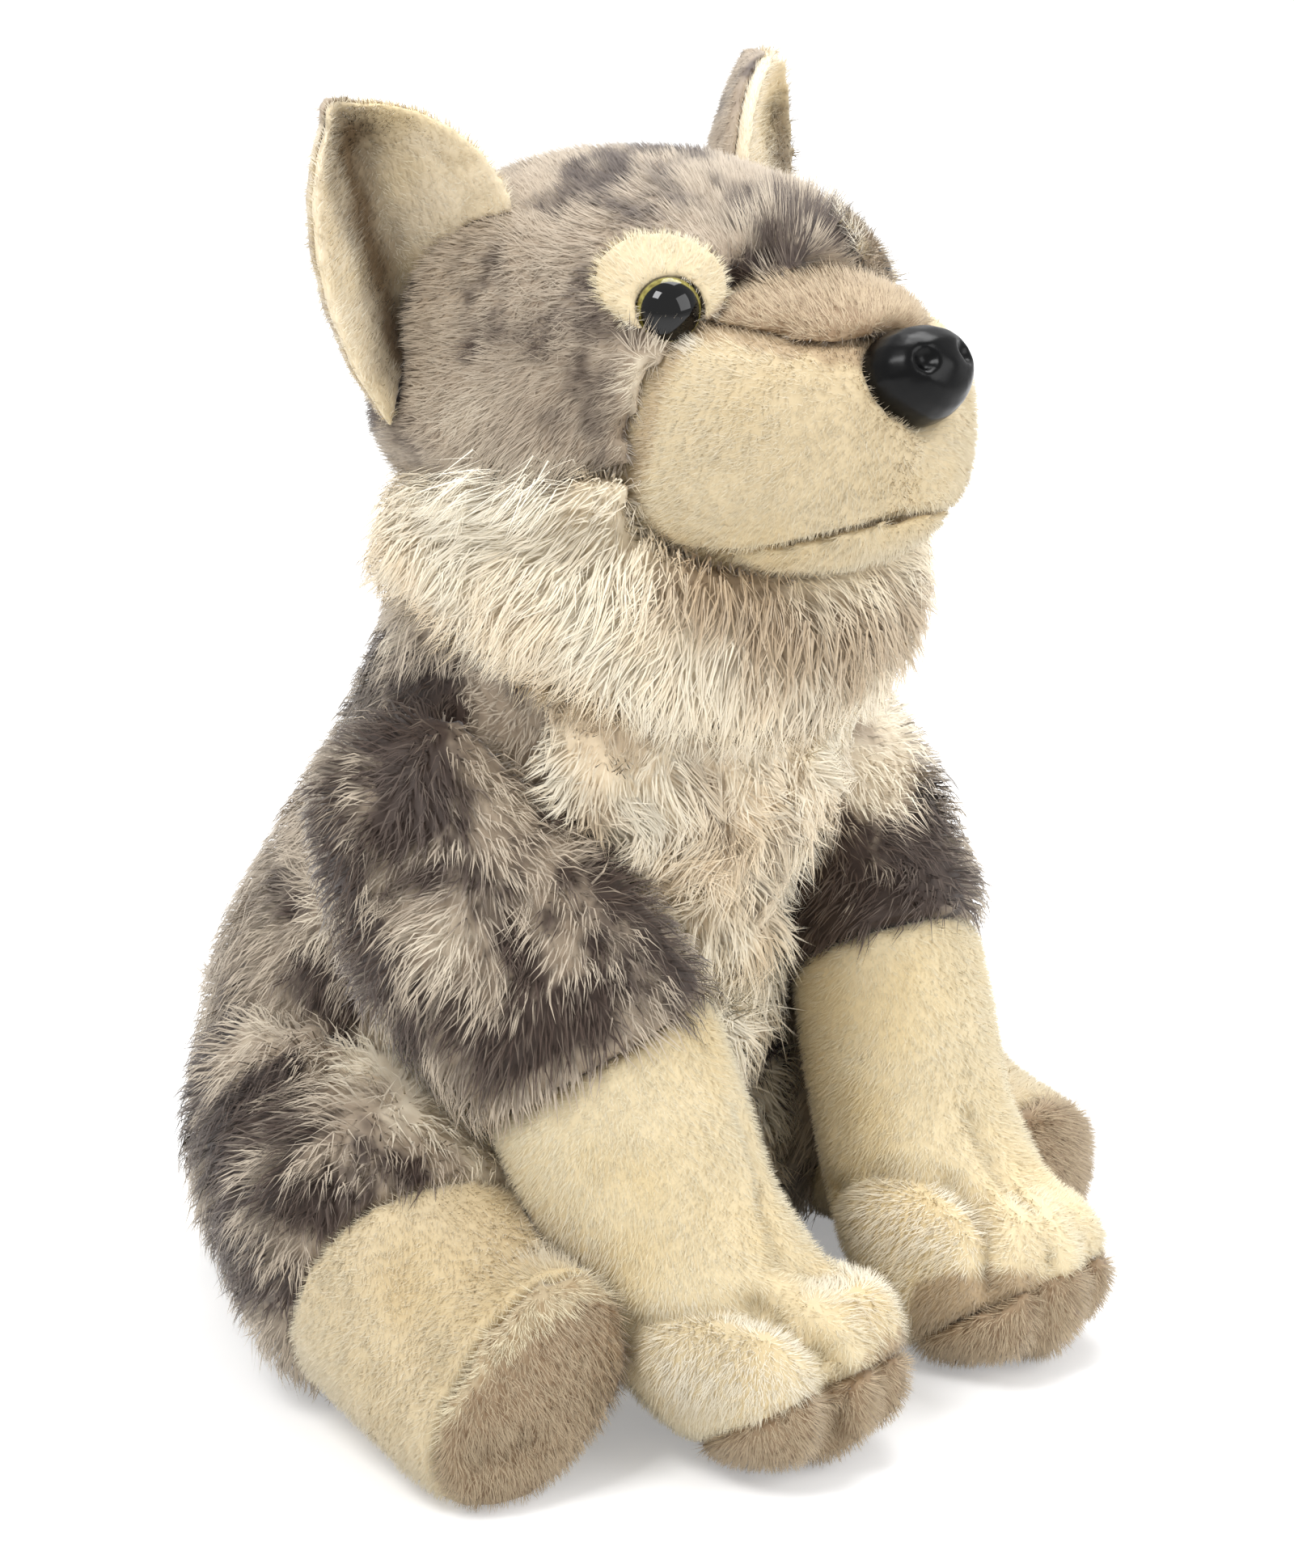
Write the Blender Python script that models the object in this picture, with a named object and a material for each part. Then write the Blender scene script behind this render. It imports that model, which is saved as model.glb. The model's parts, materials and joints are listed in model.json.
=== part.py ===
"""Plush wolf, sitting up with its paws in front of it.

The toy is modelled as the pieces that it is sewn and assembled from: stuffed panels of long and short
pile, each a closed solid that stops a seam's width short of its neighbour, and the moulded eyes and nose
with the shanks and washers that hold them in the cloth.

Frame: metres, +Z up. The wolf faces -Y and its left side is +X. The origin is on the ground, under the
middle of the seat. Each stuffed form is a loft through a few cross-sections, and a panel is what remains
of its form after its neighbours' forms are cut from it.
"""

import math
from typing import NamedTuple

import bmesh
import bpy
from mathutils import Matrix, Vector

# Seams and edges
SEAM_GAP = 0.0003
CUT_MARGIN = 0.02

# Torso: a pear that leans forward towards the neck
SEAT_WIDTH = 0.138
SEAT_DEPTH = 0.124
SEAT_SETBACK = 0.007
SEAT_FLAT = 0.84
WAIST_HEIGHT = 0.086
WAIST_WIDTH = 0.128
WAIST_DEPTH = 0.112
CHEST_HEIGHT = 0.128
CHEST_WIDTH = 0.104
CHEST_DEPTH = 0.100
CHEST_LEAN = 0.020
NECK_HEIGHT = 0.172
NECK_WIDTH = 0.096
NECK_DEPTH = 0.088
NECK_LEAN = 0.034

# Cream panels on the torso's front
BIB_PROUD = 0.007
BIB_TOP_WIDTH = 0.092
BIB_FOOT_WIDTH = 0.034
BIB_FOOT_HEIGHT = 0.056
BELLY_PROUD = 0.003
BELLY_WIDTH = 0.120
BELLY_HEIGHT = 0.054

# Ruff: the long-piled collar under the cheeks
RUFF_WIDTH = 0.110
RUFF_DEPTH = 0.126
RUFF_HEIGHT = 0.044
RUFF_THICKNESS = 0.034
RUFF_MIDDLE_HEIGHT = 0.186
RUFF_DROP = 0.012
RUFF_SWEEP = math.radians(240)
RUFF_END_ROUNDING = 0.006

# Head
HEAD_WIDTH = 0.106
HEAD_DEPTH = 0.100
HEAD_HEIGHT = 0.086
HEAD_LEAN = 0.040
HEAD_MIDDLE_HEIGHT = 0.222
HEAD_TILT = math.radians(4.2)
HEAD_TURN = math.radians(0.5)
CHEEK_SWELL = 0.16
BROW_SWELL = 0.004
JAW_SEAM_HEIGHT = -0.0205
JAW_SEAM_RISE = 0.2
JAW_SEAM_SETBACK = 0.026

# Muzzle, measured from the middle of the head
MUZZLE_WIDTH = 0.078
MUZZLE_HEIGHT = 0.061
MUZZLE_REACH = 0.082
MUZZLE_ROUNDING = 0.038
MUZZLE_DROP = 0.0055
JOWL_SWELL = 0.10
BRIDGE_EDGE_HEIGHT = 0.020
BRIDGE_FALL = 0.08
MOUTH_CORNER_REACH = 0.040
MOUTH_CORNER_HEIGHT = -0.029
MOUTH_FRONT_HEIGHT = -0.013

# Nose, with its shank and washer
NOSE_WIDTH = 0.026
NOSE_HEIGHT = 0.021
NOSE_PROUD = 0.012
NOSE_SINK = 0.005
NOSE_LIFT = 0.0095
NOSE_PITCH = math.radians(26)
NOSTRIL_RADIUS = 0.0032
NOSTRIL_SPACING = 0.0130
NOSTRIL_LIFT = 0.0022
NOSE_SHANK_RADIUS = 0.0030
NOSE_SHANK_LENGTH = 0.016
NOSE_WASHER_RADIUS = 0.0085

# Eyes, with their shanks and washers, measured from the middle of the head
EYE_RADIUS = 0.0068
EYE_DOME = 0.0050
EYE_SPACING = 0.068
EYE_SINKS = {"right": 0.0022, "left": 0.0044}
EYE_LIFT = 0.021
EYE_OUTWARD = math.radians(34)
EYE_UPWARD = math.radians(12)
EYE_SHANK_RADIUS = 0.0022
EYE_SHANK_LENGTH = 0.014
EYE_WASHER_RADIUS = 0.0065
WASHER_THICKNESS = 0.0022
WASHER_CLEARANCE = 0.0004
CLOTH_THICKNESS = 0.0035
SHANK_FOOT = -0.0004
PATCH_WIDTH = 0.027
PATCH_HEIGHT = 0.021
PATCH_PROUD = 0.0022
PATCH_OUT = 0.0010
PATCH_RISE = 0.0052

# Ears: two layers of cloth, cupped, measured from the middle of the head
EAR_LENGTH = 0.052
EAR_WIDTH = 0.056
EAR_LAYER = 0.0030
EAR_CUP = 0.013
EAR_SLANT = 0.012
EAR_SPACING = 0.083
EAR_LIFT = 0.0105
EAR_SETBACK = 0.023
EAR_SPLAY = math.radians(28)
EAR_BACKWARD = math.radians(8)
EAR_FACING = math.radians(20)

# Front legs
SHOULDER_SPACING = 0.100
SHOULDER_HEIGHT = 0.132
SHOULDER_LEAN = 0.026
ELBOW_SPACING = 0.108
ELBOW_HEIGHT = 0.109
ELBOW_REACH = 0.046
SLEEVE_WIDTH = 0.059
SLEEVE_DEPTH = 0.047
LEG_TWIST = math.radians(46)
CUFF_SPACING = 0.092
CUFF_HEIGHT = 0.082
CUFF_REACH = 0.072
FORELEG_WIDTH = 0.052
FORELEG_DEPTH = 0.040
ANKLE_HEIGHT = 0.043
ANKLE_REACH = 0.087
FOREPAW_WIDTH = 0.053
FOREPAW_HEIGHT = 0.036
FOREPAW_SPACING = 0.070
FOREPAW_REACH = 0.108
FOREPAW_TOE_REACH = 0.140
FOREPAW_TOE_LIFT = 0.003
TOE_SPACING = 0.0170
TOE_CREASE_WIDTH = 0.0045
TOE_CREASE_DEPTH = 0.0034
FOREPAD_FRONT_HEIGHT = 0.027
FOREPAD_SLOPE = math.radians(34)

# Hind legs; each foot rolls out by its own amount, and the left one lies flatter
HIP_SPACING = 0.096
HIP_HEIGHT = 0.046
HIP_SETBACK = 0.010
THIGH_WIDTH = 0.068
THIGH_DEPTH = 0.078
STIFLE_SPACING = 0.146
STIFLE_REACH = 0.034
STIFLE_HEIGHT = 0.036
HIND_LEG_WIDTH = 0.058
HIND_LEG_DEPTH = 0.043
HINDPAW_SPACING = 0.172
HINDPAW_REACH = 0.089
HINDPAW_LENGTH = 0.057
HINDPAW_WIDTH = 0.037
HINDPAW_ROLLS = {"right": math.radians(45), "left": math.radians(16)}
HIND_TUCKS = {"right": 0.0, "left": 0.009}
HINDPAD_THICKNESS = 0.011
HIND_ANKLE_LIFT = 0.002
THIGH_SEAM_REACH = 0.050
THIGH_SEAM_LEAN = 0.40

# Tail, curled along the ground behind the seat
TAIL_WIDTH = 0.036
TAIL_HEIGHT = 0.032
TAIL_REACH = 0.062
TAIL_ROOT_SIDE = 0.010
TAIL_TIP_SIDE = 0.084
TAIL_ROOT_SINK = 0.006
TAIL_ROOT_ROUNDING = 0.004
TAIL_TIP_ROUNDING = 0.016

RIGHT, LEFT = -1, 1
SIDES = {"right": RIGHT, "left": LEFT}

COLOURS = {
    "grey_long_pile": ((0.33, 0.28, 0.23), 0.9),
    "cream_long_pile": ((0.80, 0.70, 0.53), 0.9),
    "cream_short_pile": ((0.83, 0.70, 0.47), 0.85),
    "tan_short_pile": ((0.56, 0.44, 0.29), 0.85),
    "black_plastic": ((0.012, 0.012, 0.014), 0.22),
    "eye_plastic": ((0.02, 0.018, 0.010), 0.08),
    "washer_plastic": ((0.85, 0.85, 0.83), 0.5),
}


class Section(NamedTuple):
    """One cross-section of a stuffed form: its middle, its two half sizes, how square it is and its roll."""

    x: float
    y: float
    z: float
    half_width: float
    half_depth: float
    squareness: float = 2.0
    roll: float = 0.0


# Materials and scene

def clear_scene():
    for obj in list(bpy.data.objects):
        bpy.data.objects.remove(obj, do_unlink=True)


def material(name):
    made = bpy.data.materials.get(name)
    if made:
        return made
    colour, roughness = COLOURS[name]
    made = bpy.data.materials.new(name)
    made.use_nodes = True
    shader = made.node_tree.nodes["Principled BSDF"]
    shader.inputs["Base Color"].default_value = (*colour, 1.0)
    shader.inputs["Roughness"].default_value = roughness
    made.diffuse_color = (*colour, 1.0)
    return made


def link(name, bm, parent=None):
    """A mesh object from bm, in the parent's coordinates."""
    bmesh.ops.remove_doubles(bm, verts=bm.verts, dist=1e-6)
    bmesh.ops.recalc_face_normals(bm, faces=bm.faces)
    mesh = bpy.data.meshes.new(name)
    bm.to_mesh(mesh)
    bm.free()
    obj = bpy.data.objects.new(name, mesh)
    bpy.context.scene.collection.objects.link(obj)
    obj.parent = parent
    return obj


def helper(name, bm, parent=None):
    """A hidden form, to cut with or to keep within."""
    obj = link(name, bm, parent)
    obj.hide_render = True
    obj.display_type = "WIRE"
    return obj


def finish(obj, material_name):
    obj.data.materials.append(material(material_name))
    obj.data.shade_smooth()
    obj.data.set_sharp_from_angle(angle=math.radians(50))
    return obj


def boolean(obj, other, operation):
    step = obj.modifiers.new(f"{operation.lower()}_{other.name}", "BOOLEAN")
    step.operation = operation
    step.solver = "EXACT"
    step.object = other
    return obj


def cut(obj, *cutters):
    for cutter in cutters:
        boolean(obj, cutter, "DIFFERENCE")
    return obj


def kept_within(obj, *regions):
    for region in regions:
        boolean(obj, region, "INTERSECT")
    return obj


# Lofting

def catmull_rom(before, start, end, after, share):
    squared, cubed = share**2, share**3
    return 0.5 * (
        2 * start
        + (end - before) * share
        + (2 * before - 5 * start + 4 * end - after) * squared
        + (3 * start - before - 3 * end + after) * cubed
    )


def between(stations, steps):
    """The stations with steps - 1 smooth sections between each two."""
    found = []
    last = len(stations) - 1
    for index in range(last):
        four = [stations[max(0, min(last, index + k))] for k in (-1, 0, 1, 2)]
        for step in range(steps):
            found.append(Section(*(catmull_rom(*values, step / steps) for values in zip(*four))))
    found.append(stations[-1])
    return found


def outline(width, depth, squareness, sides, roll=0.0):
    """Points of a superellipse with these half sizes, turned by roll."""
    points = []
    for index in range(sides):
        angle = 2 * math.pi * index / sides
        cosine, sine = math.cos(angle), math.sin(angle)
        across = math.copysign(abs(cosine) ** (2 / squareness), cosine) * width
        along = math.copysign(abs(sine) ** (2 / squareness), sine) * depth
        points.append(
            (
                across * math.cos(roll) - along * math.sin(roll),
                across * math.sin(roll) + along * math.cos(roll),
            )
        )
    return points


def domed(stations, start_dome, end_dome, turns=(0.45, 0.80, 0.96)):
    """The stations with rounded ends of these heights, where the height isn't 0."""
    stations = list(stations)
    for at_end, height in ((False, start_dome), (True, end_dome)):
        if not height:
            continue
        edge, inner = (stations[-1], stations[-2]) if at_end else (stations[0], stations[1])
        outward = (Vector(edge[:3]) - Vector(inner[:3])).normalized()
        rings = []
        for share in turns:
            shrink = math.sqrt(1 - share**2)
            place = Vector(edge[:3]) + outward * height * share
            sizes = (edge.half_width * shrink, edge.half_depth * shrink)
            rings.append(Section(*place, *sizes, edge.squareness, edge.roll))
        stations = stations + rings if at_end else rings[::-1] + stations
    return stations


def loft(stations, sides, steps=1, width_axis=(1, 0, 0), domes=(0.0, 0.0), direction=None):
    """A closed skin through the stations.

    Each section lies across the line of their middles, or across the direction where one is given.
    """
    sections = domed(between(stations, steps), *domes)
    middles = [Vector(section[:3]) for section in sections]
    bm = bmesh.new()
    rings = []
    for index, section in enumerate(sections):
        before = middles[max(0, index - 1)]
        after = middles[min(len(middles) - 1, index + 1)]
        along = Vector(direction) if direction else (after - before).normalized()
        across = Vector(width_axis)
        across = (across - along * across.dot(along)).normalized()
        upright = along.cross(across)
        flat = outline(section.half_width, section.half_depth, section.squareness, sides, section.roll)
        rings.append([bm.verts.new(middles[index] + across * u + upright * v) for u, v in flat])
    join_rings(bm, rings)
    for ring, height in ((rings[0], domes[0]), (rings[-1], domes[1])):
        if height:
            middle = bm.verts.new(sum((vert.co for vert in ring), Vector()) / sides)
            for index in range(sides):
                bm.faces.new((ring[index], ring[(index + 1) % sides], middle))
        else:
            bm.faces.new(ring)
    # Twisted quads would fold differently on each piece that is cut from the form, so they become triangles.
    bmesh.ops.triangulate(bm, faces=bm.faces)
    bmesh.ops.recalc_face_normals(bm, faces=bm.faces)
    return bm


def join_rings(bm, rings):
    """Faces from each ring to the next; a ring of one point closes to a fan."""
    sides = max(len(ring) for ring in rings)
    for lower, upper in zip(rings, rings[1:]):
        for index in range(sides):
            following = (index + 1) % sides
            corners = [lower[index % len(lower)], lower[following % len(lower)]]
            corners += [upper[following % len(upper)], upper[index % len(upper)]]
            bm.faces.new(list(dict.fromkeys(corners)))


def turned(profile, sides, closed=False):
    """A solid turned about +Z from (radius, height) points, up from axis to axis or as a closed ring."""
    bm = bmesh.new()
    rings = []
    for radius, height in profile:
        if radius == 0:
            rings.append([bm.verts.new((0, 0, height))])
            continue
        turns = [2 * math.pi * index / sides for index in range(sides)]
        rings.append([bm.verts.new((radius * math.cos(t), radius * math.sin(t), height)) for t in turns])
    join_rings(bm, rings + rings[:1] if closed else rings)
    bmesh.ops.recalc_face_normals(bm, faces=bm.faces)
    return bm


def prism(points, low, high, axis):
    """A block with this outline, which runs from low to high along an axis."""
    place = {
        "X": lambda u, v, depth: (depth, u, v),
        "Y": lambda u, v, depth: (u, depth, v),
        "Z": lambda u, v, depth: (u, v, depth),
    }[axis]
    bm = bmesh.new()
    ends = [[bm.verts.new(place(u, v, depth)) for u, v in points] for depth in (low, high)]
    for ring in ends:
        bm.faces.new(ring)
    join_rings(bm, ends)
    bmesh.ops.recalc_face_normals(bm, faces=bm.faces)
    return bm


def placed(bm, frame):
    bm.transform(frame)
    return bm


def grown(bm, amount):
    """A copy of bm with its skin moved out by this amount."""
    twin = bm.copy()
    twin.normal_update()
    moves = [vert.normal * amount for vert in twin.verts]
    for vert, move in zip(twin.verts, moves):
        vert.co += move
    return twin


def keep_side(bm, point, normal, shift=0.0):
    """Cuts bm by a plane and keeps the part that the normal points to, with the cut closed."""
    normal = Vector(normal).normalized()
    point = Vector(point) + normal * shift
    whole = bm.verts[:] + bm.edges[:] + bm.faces[:]
    cut_through = bmesh.ops.bisect_plane(
        bm, geom=whole, dist=1e-7, plane_co=point, plane_no=normal, clear_inner=True
    )
    rim = [item for item in cut_through["geom_cut"] if isinstance(item, bmesh.types.BMEdge)]
    if rim:
        bmesh.ops.holes_fill(bm, edges=rim)
    bmesh.ops.recalc_face_normals(bm, faces=bm.faces)
    return bm


def on_ground(bm):
    """Flattens the form where it rests on the ground."""
    return keep_side(bm, (0, 0, 0), (0, 0, 1))


def opposite(normal):
    return tuple(-value for value in normal)


def creased(bm, crease_x, width, depth, heart, strength):
    """Draws bm in along a stitched crease on the plane at crease_x, as deep as strength(vert) says.

    The skin moves towards the heart, which gives the inner point behind each place on it.
    """
    for shift in (-1.0, 0.0, 1.0):
        whole = bm.verts[:] + bm.edges[:] + bm.faces[:]
        place = (crease_x + width * shift, 0, 0)
        bmesh.ops.bisect_plane(bm, geom=whole, dist=1e-6, plane_co=place, plane_no=(1, 0, 0))
    for vert in bm.verts:
        off = (vert.co.x - crease_x) / width
        inward = (heart(vert.co) - vert.co).normalized()
        vert.co += inward * depth * math.exp(-2 * off**2) * strength(vert.co)
    return bm


# Forms of the body

def torso_form():
    half_width, half_depth = SEAT_WIDTH / 2, SEAT_DEPTH / 2
    seat = [(-CUT_MARGIN / 2, SEAT_FLAT * 0.9), (0.0, SEAT_FLAT)]
    seat += [(WAIST_HEIGHT * 0.16, 0.97), (WAIST_HEIGHT / 2, 1.0)]
    stations = [
        Section(0, SEAT_SETBACK, height, half_width * fullness, half_depth * fullness, 2.2)
        for height, fullness in seat
    ]
    stations += [
        Section(0, 0, WAIST_HEIGHT, WAIST_WIDTH / 2, WAIST_DEPTH / 2, 2.2),
        Section(0, -CHEST_LEAN, CHEST_HEIGHT, CHEST_WIDTH / 2, CHEST_DEPTH / 2, 2.2),
        Section(0, -NECK_LEAN, NECK_HEIGHT, NECK_WIDTH / 2, NECK_DEPTH / 2, 2.1),
    ]
    bm = loft(stations, sides=22, steps=2, domes=(0.0, NECK_WIDTH / 3), direction=(0, 0, 1))
    return on_ground(bm)


def bib_block():
    """The space in front of the middle of the torso that the bib's outline takes."""
    top = HEAD_MIDDLE_HEIGHT
    half_top, half_foot = BIB_TOP_WIDTH / 2, BIB_FOOT_WIDTH / 2
    side = [
        (half_foot * 0.5, BIB_FOOT_HEIGHT),
        (half_foot, BIB_FOOT_HEIGHT * 1.12),
        (half_top * 0.72, (CHEST_HEIGHT + BIB_FOOT_HEIGHT) / 2),
        (half_top * 0.96, CHEST_HEIGHT),
        (half_top, top),
    ]
    points = side + [(-x, z) for x, z in reversed(side)]
    return prism(points, -SEAT_DEPTH, -NECK_LEAN * 0.8, "Y")


def belly_block():
    """The space in front of the lower torso that the belly panel takes."""
    half, foot = BELLY_WIDTH / 2, BELLY_HEIGHT * 0.12
    side = [(half, foot), (half, BELLY_HEIGHT * 0.8), (half * 0.6, BELLY_HEIGHT)]
    points = side + [(-x, z) for x, z in reversed(side)]
    return prism(points, -SEAT_DEPTH, -SEAT_DEPTH * 0.12, "Y")


def ruff_form():
    """A fat band swept round the front of the neck, thin at its two ends."""
    count = 6
    stations = []
    for index in range(count):
        share = index / (count - 1)
        angle = (share - 0.5) * RUFF_SWEEP
        fullness = 0.45 + 0.55 * math.sin(math.pi * (0.08 + 0.84 * share)) ** 0.7
        half_thickness = RUFF_THICKNESS / 2 * fullness
        x = math.sin(angle) * (RUFF_WIDTH / 2 - half_thickness)
        y = -HEAD_LEAN - math.cos(angle) * (RUFF_DEPTH / 2 - half_thickness)
        z = RUFF_MIDDLE_HEIGHT - RUFF_DROP * max(0.0, math.cos(angle))
        stations.append(Section(x, y, z, RUFF_HEIGHT / 2 * fullness, half_thickness, 2.2))
    return loft(stations, sides=12, steps=2, width_axis=(0, 0, 1), domes=(RUFF_END_ROUNDING, RUFF_END_ROUNDING))


# Forms of the head, in its own coordinates about its middle

def head_form():
    depth, width, height = HEAD_DEPTH / 2, HEAD_WIDTH / 2, HEAD_HEIGHT / 2
    stations = []
    for share in (-0.92, -0.72, -0.4, 0.0, 0.4, 0.72, 0.92):
        swell = (1 - abs(share) ** 2.4) ** (1 / 2.4)
        stations.append(Section(0, -share * depth, 0, width * swell, height * swell, 2.3))
    bm = loft(stations, sides=24, domes=(depth * 0.07, depth * 0.07))
    for vert in bm.verts:
        low = min(1.0, max(0.0, -vert.co.z / height))
        high = min(1.0, max(0.0, vert.co.z / height))
        front = max(0.0, -vert.co.y / depth)
        vert.co.x *= 1 + CHEEK_SWELL * math.sin(math.pi * low) + CHEEK_SWELL / 2 * low
        vert.co.y -= BROW_SWELL * math.sin(math.pi * high) * front
    return bm


def muzzle_form():
    """A blunt box, round in plan, whose top and bottom stay nearly level up to its front."""
    width, height = MUZZLE_WIDTH / 2, MUZZLE_HEIGHT / 2
    start = MUZZLE_REACH - MUZZLE_ROUNDING
    stations = [
        Section(0, -HEAD_DEPTH / 2 * 0.35, -MUZZLE_DROP, width * 0.95, height * 0.95, 2.4),
        Section(0, -start, -MUZZLE_DROP, width, height, 2.4),
    ]
    for share in (0.35, 0.62, 0.82, 0.94):
        in_plan = (1 - share**2) ** 0.5
        in_profile = (1 - share**2.3) ** (1 / 2.3)
        y = -start - MUZZLE_ROUNDING * share
        stations.append(Section(0, y, -MUZZLE_DROP, width * in_plan, height * in_profile, 2.3))
    bm = loft(stations, sides=22, domes=(0.003, MUZZLE_ROUNDING * 0.05))
    for vert in bm.verts:
        vert.co.x *= 1 + JOWL_SWELL * min(1.0, max(0.0, -vert.co.z / height))
    return bm


def collar_block(lift):
    """The space under the seam below the cheeks, where the ruff covers the head."""
    back, front = JAW_SEAM_SETBACK + lift, -HEAD_DEPTH
    seam = [(y, JAW_SEAM_HEIGHT - JAW_SEAM_RISE * y + lift) for y in (back, front)]
    return prism([*seam, (front, -HEAD_DEPTH), (back, -HEAD_DEPTH)], -HEAD_WIDTH, HEAD_WIDTH, "X")


def bridge_block(lift):
    """The space above the seam between the muzzle's tan top and its cream sides."""
    root = HEAD_DEPTH / 2 * 0.3
    reach = MUZZLE_REACH + CUT_MARGIN
    low = BRIDGE_EDGE_HEIGHT + lift
    points = [
        (-root, low),
        (-reach, low - BRIDGE_FALL * (reach - root)),
        (-reach, HEAD_HEIGHT),
        (-root, HEAD_HEIGHT),
    ]
    return prism(points, -HEAD_WIDTH, HEAD_WIDTH, "X")


def chin_block(drop):
    """The space below the mouth line, which climbs from the corners of the mouth to the front."""
    points = [(-HEAD_DEPTH / 2 * 0.3, MOUTH_CORNER_HEIGHT - drop)]
    steps = 4
    for index in range(steps + 1):
        share = index / steps
        reach = MOUTH_CORNER_REACH + (MUZZLE_REACH + CUT_MARGIN / 4 - MOUTH_CORNER_REACH) * share
        climb = (MOUTH_FRONT_HEIGHT - MOUTH_CORNER_HEIGHT) * share**2
        points.append((-reach, MOUTH_CORNER_HEIGHT + climb - drop))
    points.append((points[-1][0], -HEAD_HEIGHT))
    points.append((points[0][0], -HEAD_HEIGHT))
    return prism(points, -HEAD_WIDTH, HEAD_WIDTH, "X")


# Moulded pieces: a shank goes through the cloth, and a washer behind it holds the piece

def shank_profile(radius, length, foot):
    """A shank that narrows past its washer, from its tip up to the foot."""
    waist = radius * 0.86
    return [
        (0, -length),
        (waist * 0.7, -length),
        (waist, -length + waist),
        (waist, -length * 0.62),
        (radius, -length * 0.60),
        (radius, foot),
    ]


def washer_ring(shank_radius, washer_radius):
    """A washer pressed on its shank, behind the cloth, with a bevelled rim."""
    bore = shank_radius + SEAM_GAP
    front = -CLOTH_THICKNESS - WASHER_CLEARANCE
    back = front - WASHER_THICKNESS
    bevel = WASHER_THICKNESS / 2
    profile = [
        (bore, back),
        (washer_radius - bevel, back),
        (washer_radius, back + bevel),
        (washer_radius, front),
        (bore, front),
    ]
    return turned(profile, 10, closed=True)


def washer_pocket(shank_radius, shank_length, washer_radius):
    """The hole through the cloth and the space behind it that a shank and its washer take."""
    front = -CLOTH_THICKNESS
    back = front - WASHER_THICKNESS - 2 * WASHER_CLEARANCE
    end = -shank_length - WASHER_CLEARANCE
    wide = washer_radius + WASHER_CLEARANCE
    hole = shank_radius + WASHER_CLEARANCE
    profile = [
        (0, end),
        (hole, end),
        (hole, back),
        (wide, back),
        (wide, front),
        (hole, front),
        (hole, CUT_MARGIN),
        (0, CUT_MARGIN),
    ]
    return turned(profile, 10)


def facing(outward, place):
    """Places a piece so that its +Z looks along outward and its +Y stays as upright as it can."""
    outward = Vector(outward).normalized()
    across = Vector((0, 0, 1)).cross(outward).normalized()
    upright = outward.cross(across)
    turn = Matrix((across, upright, outward)).transposed().to_4x4()
    return Matrix.Translation(place) @ turn


def eye_frame(name, side):
    """Seats an eye on the skin of the head. The left one is drawn deeper into the pile."""
    outward = (
        side * math.sin(EYE_OUTWARD) * math.cos(EYE_UPWARD),
        -math.cos(EYE_OUTWARD) * math.cos(EYE_UPWARD),
        math.sin(EYE_UPWARD),
    )
    x, z = side * EYE_SPACING / 2, EYE_LIFT
    left_over = 1 - abs(x / (HEAD_WIDTH / 2)) ** 2.3 - abs(z / (HEAD_HEIGHT / 2)) ** 2.3
    front = HEAD_DEPTH / 2 * max(0.0, left_over) ** (1 / 2.4) + BROW_SWELL
    return facing(outward, Vector((x, -front, z)) - Vector(outward) * EYE_SINKS[name])


def nose_frame():
    """Seats the nose on the upper front of the muzzle, pitched up."""
    outward = (0, -math.cos(NOSE_PITCH), math.sin(NOSE_PITCH))
    return facing(outward, (0, -MUZZLE_REACH + NOSE_SINK, NOSE_LIFT))


# Head assembly

def head_pivot():
    pivot = bpy.data.objects.new("head_pivot", None)
    bpy.context.scene.collection.objects.link(pivot)
    pivot.location = (0, -HEAD_LEAN, HEAD_MIDDLE_HEIGHT)
    pivot.rotation_euler = (0, HEAD_TILT, HEAD_TURN)
    return pivot


def build_eye(name, side, pivot):
    """The eye and its washer. It returns the hole for them and the seat that the eye takes in the pile."""
    frame = eye_frame(name, side)
    dome = [
        (EYE_RADIUS * math.cos(angle), EYE_DOME * math.sin(angle))
        for angle in (math.radians(degrees) for degrees in (0, 25, 50, 72))
    ]
    profile = shank_profile(EYE_SHANK_RADIUS, EYE_SHANK_LENGTH, SHANK_FOOT)
    profile += [(EYE_RADIUS, SHANK_FOOT), *dome, (0, EYE_DOME)]
    finish(link(f"eye_{name}", placed(turned(profile, 14), frame), pivot), "eye_plastic")
    ring = washer_ring(EYE_SHANK_RADIUS, EYE_WASHER_RADIUS)
    finish(link(f"eye_washer_{name}", placed(ring, frame), pivot), "washer_plastic")
    pocket = washer_pocket(EYE_SHANK_RADIUS, EYE_SHANK_LENGTH, EYE_WASHER_RADIUS)
    hole = helper(f"eye_pocket_{name}", placed(pocket, frame), pivot)
    wide = EYE_RADIUS + SEAM_GAP
    low = SHANK_FOOT - SEAM_GAP
    seat_profile = [(0, low), (wide, low), (wide, CUT_MARGIN), (0, CUT_MARGIN)]
    seat = helper(f"eye_seat_{name}", placed(turned(seat_profile, 14), frame), pivot)
    return hole, seat


def build_eye_patch(name, side, pivot, skin):
    """The oval of short cream pile round an eye, laid on the head."""
    oval = outline(PATCH_WIDTH / 2, PATCH_HEIGHT / 2, 2.0, 24)
    points = [(u + side * PATCH_OUT, v + PATCH_RISE) for u, v in oval]
    block = prism(points, -CUT_MARGIN * 0.7, CUT_MARGIN, "Z")
    region = helper(f"patch_region_{name}", placed(block, eye_frame(name, side)), pivot)
    patch = link(f"eye_patch_{name}", grown(skin, PATCH_PROUD), pivot)
    return kept_within(patch, region)


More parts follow.
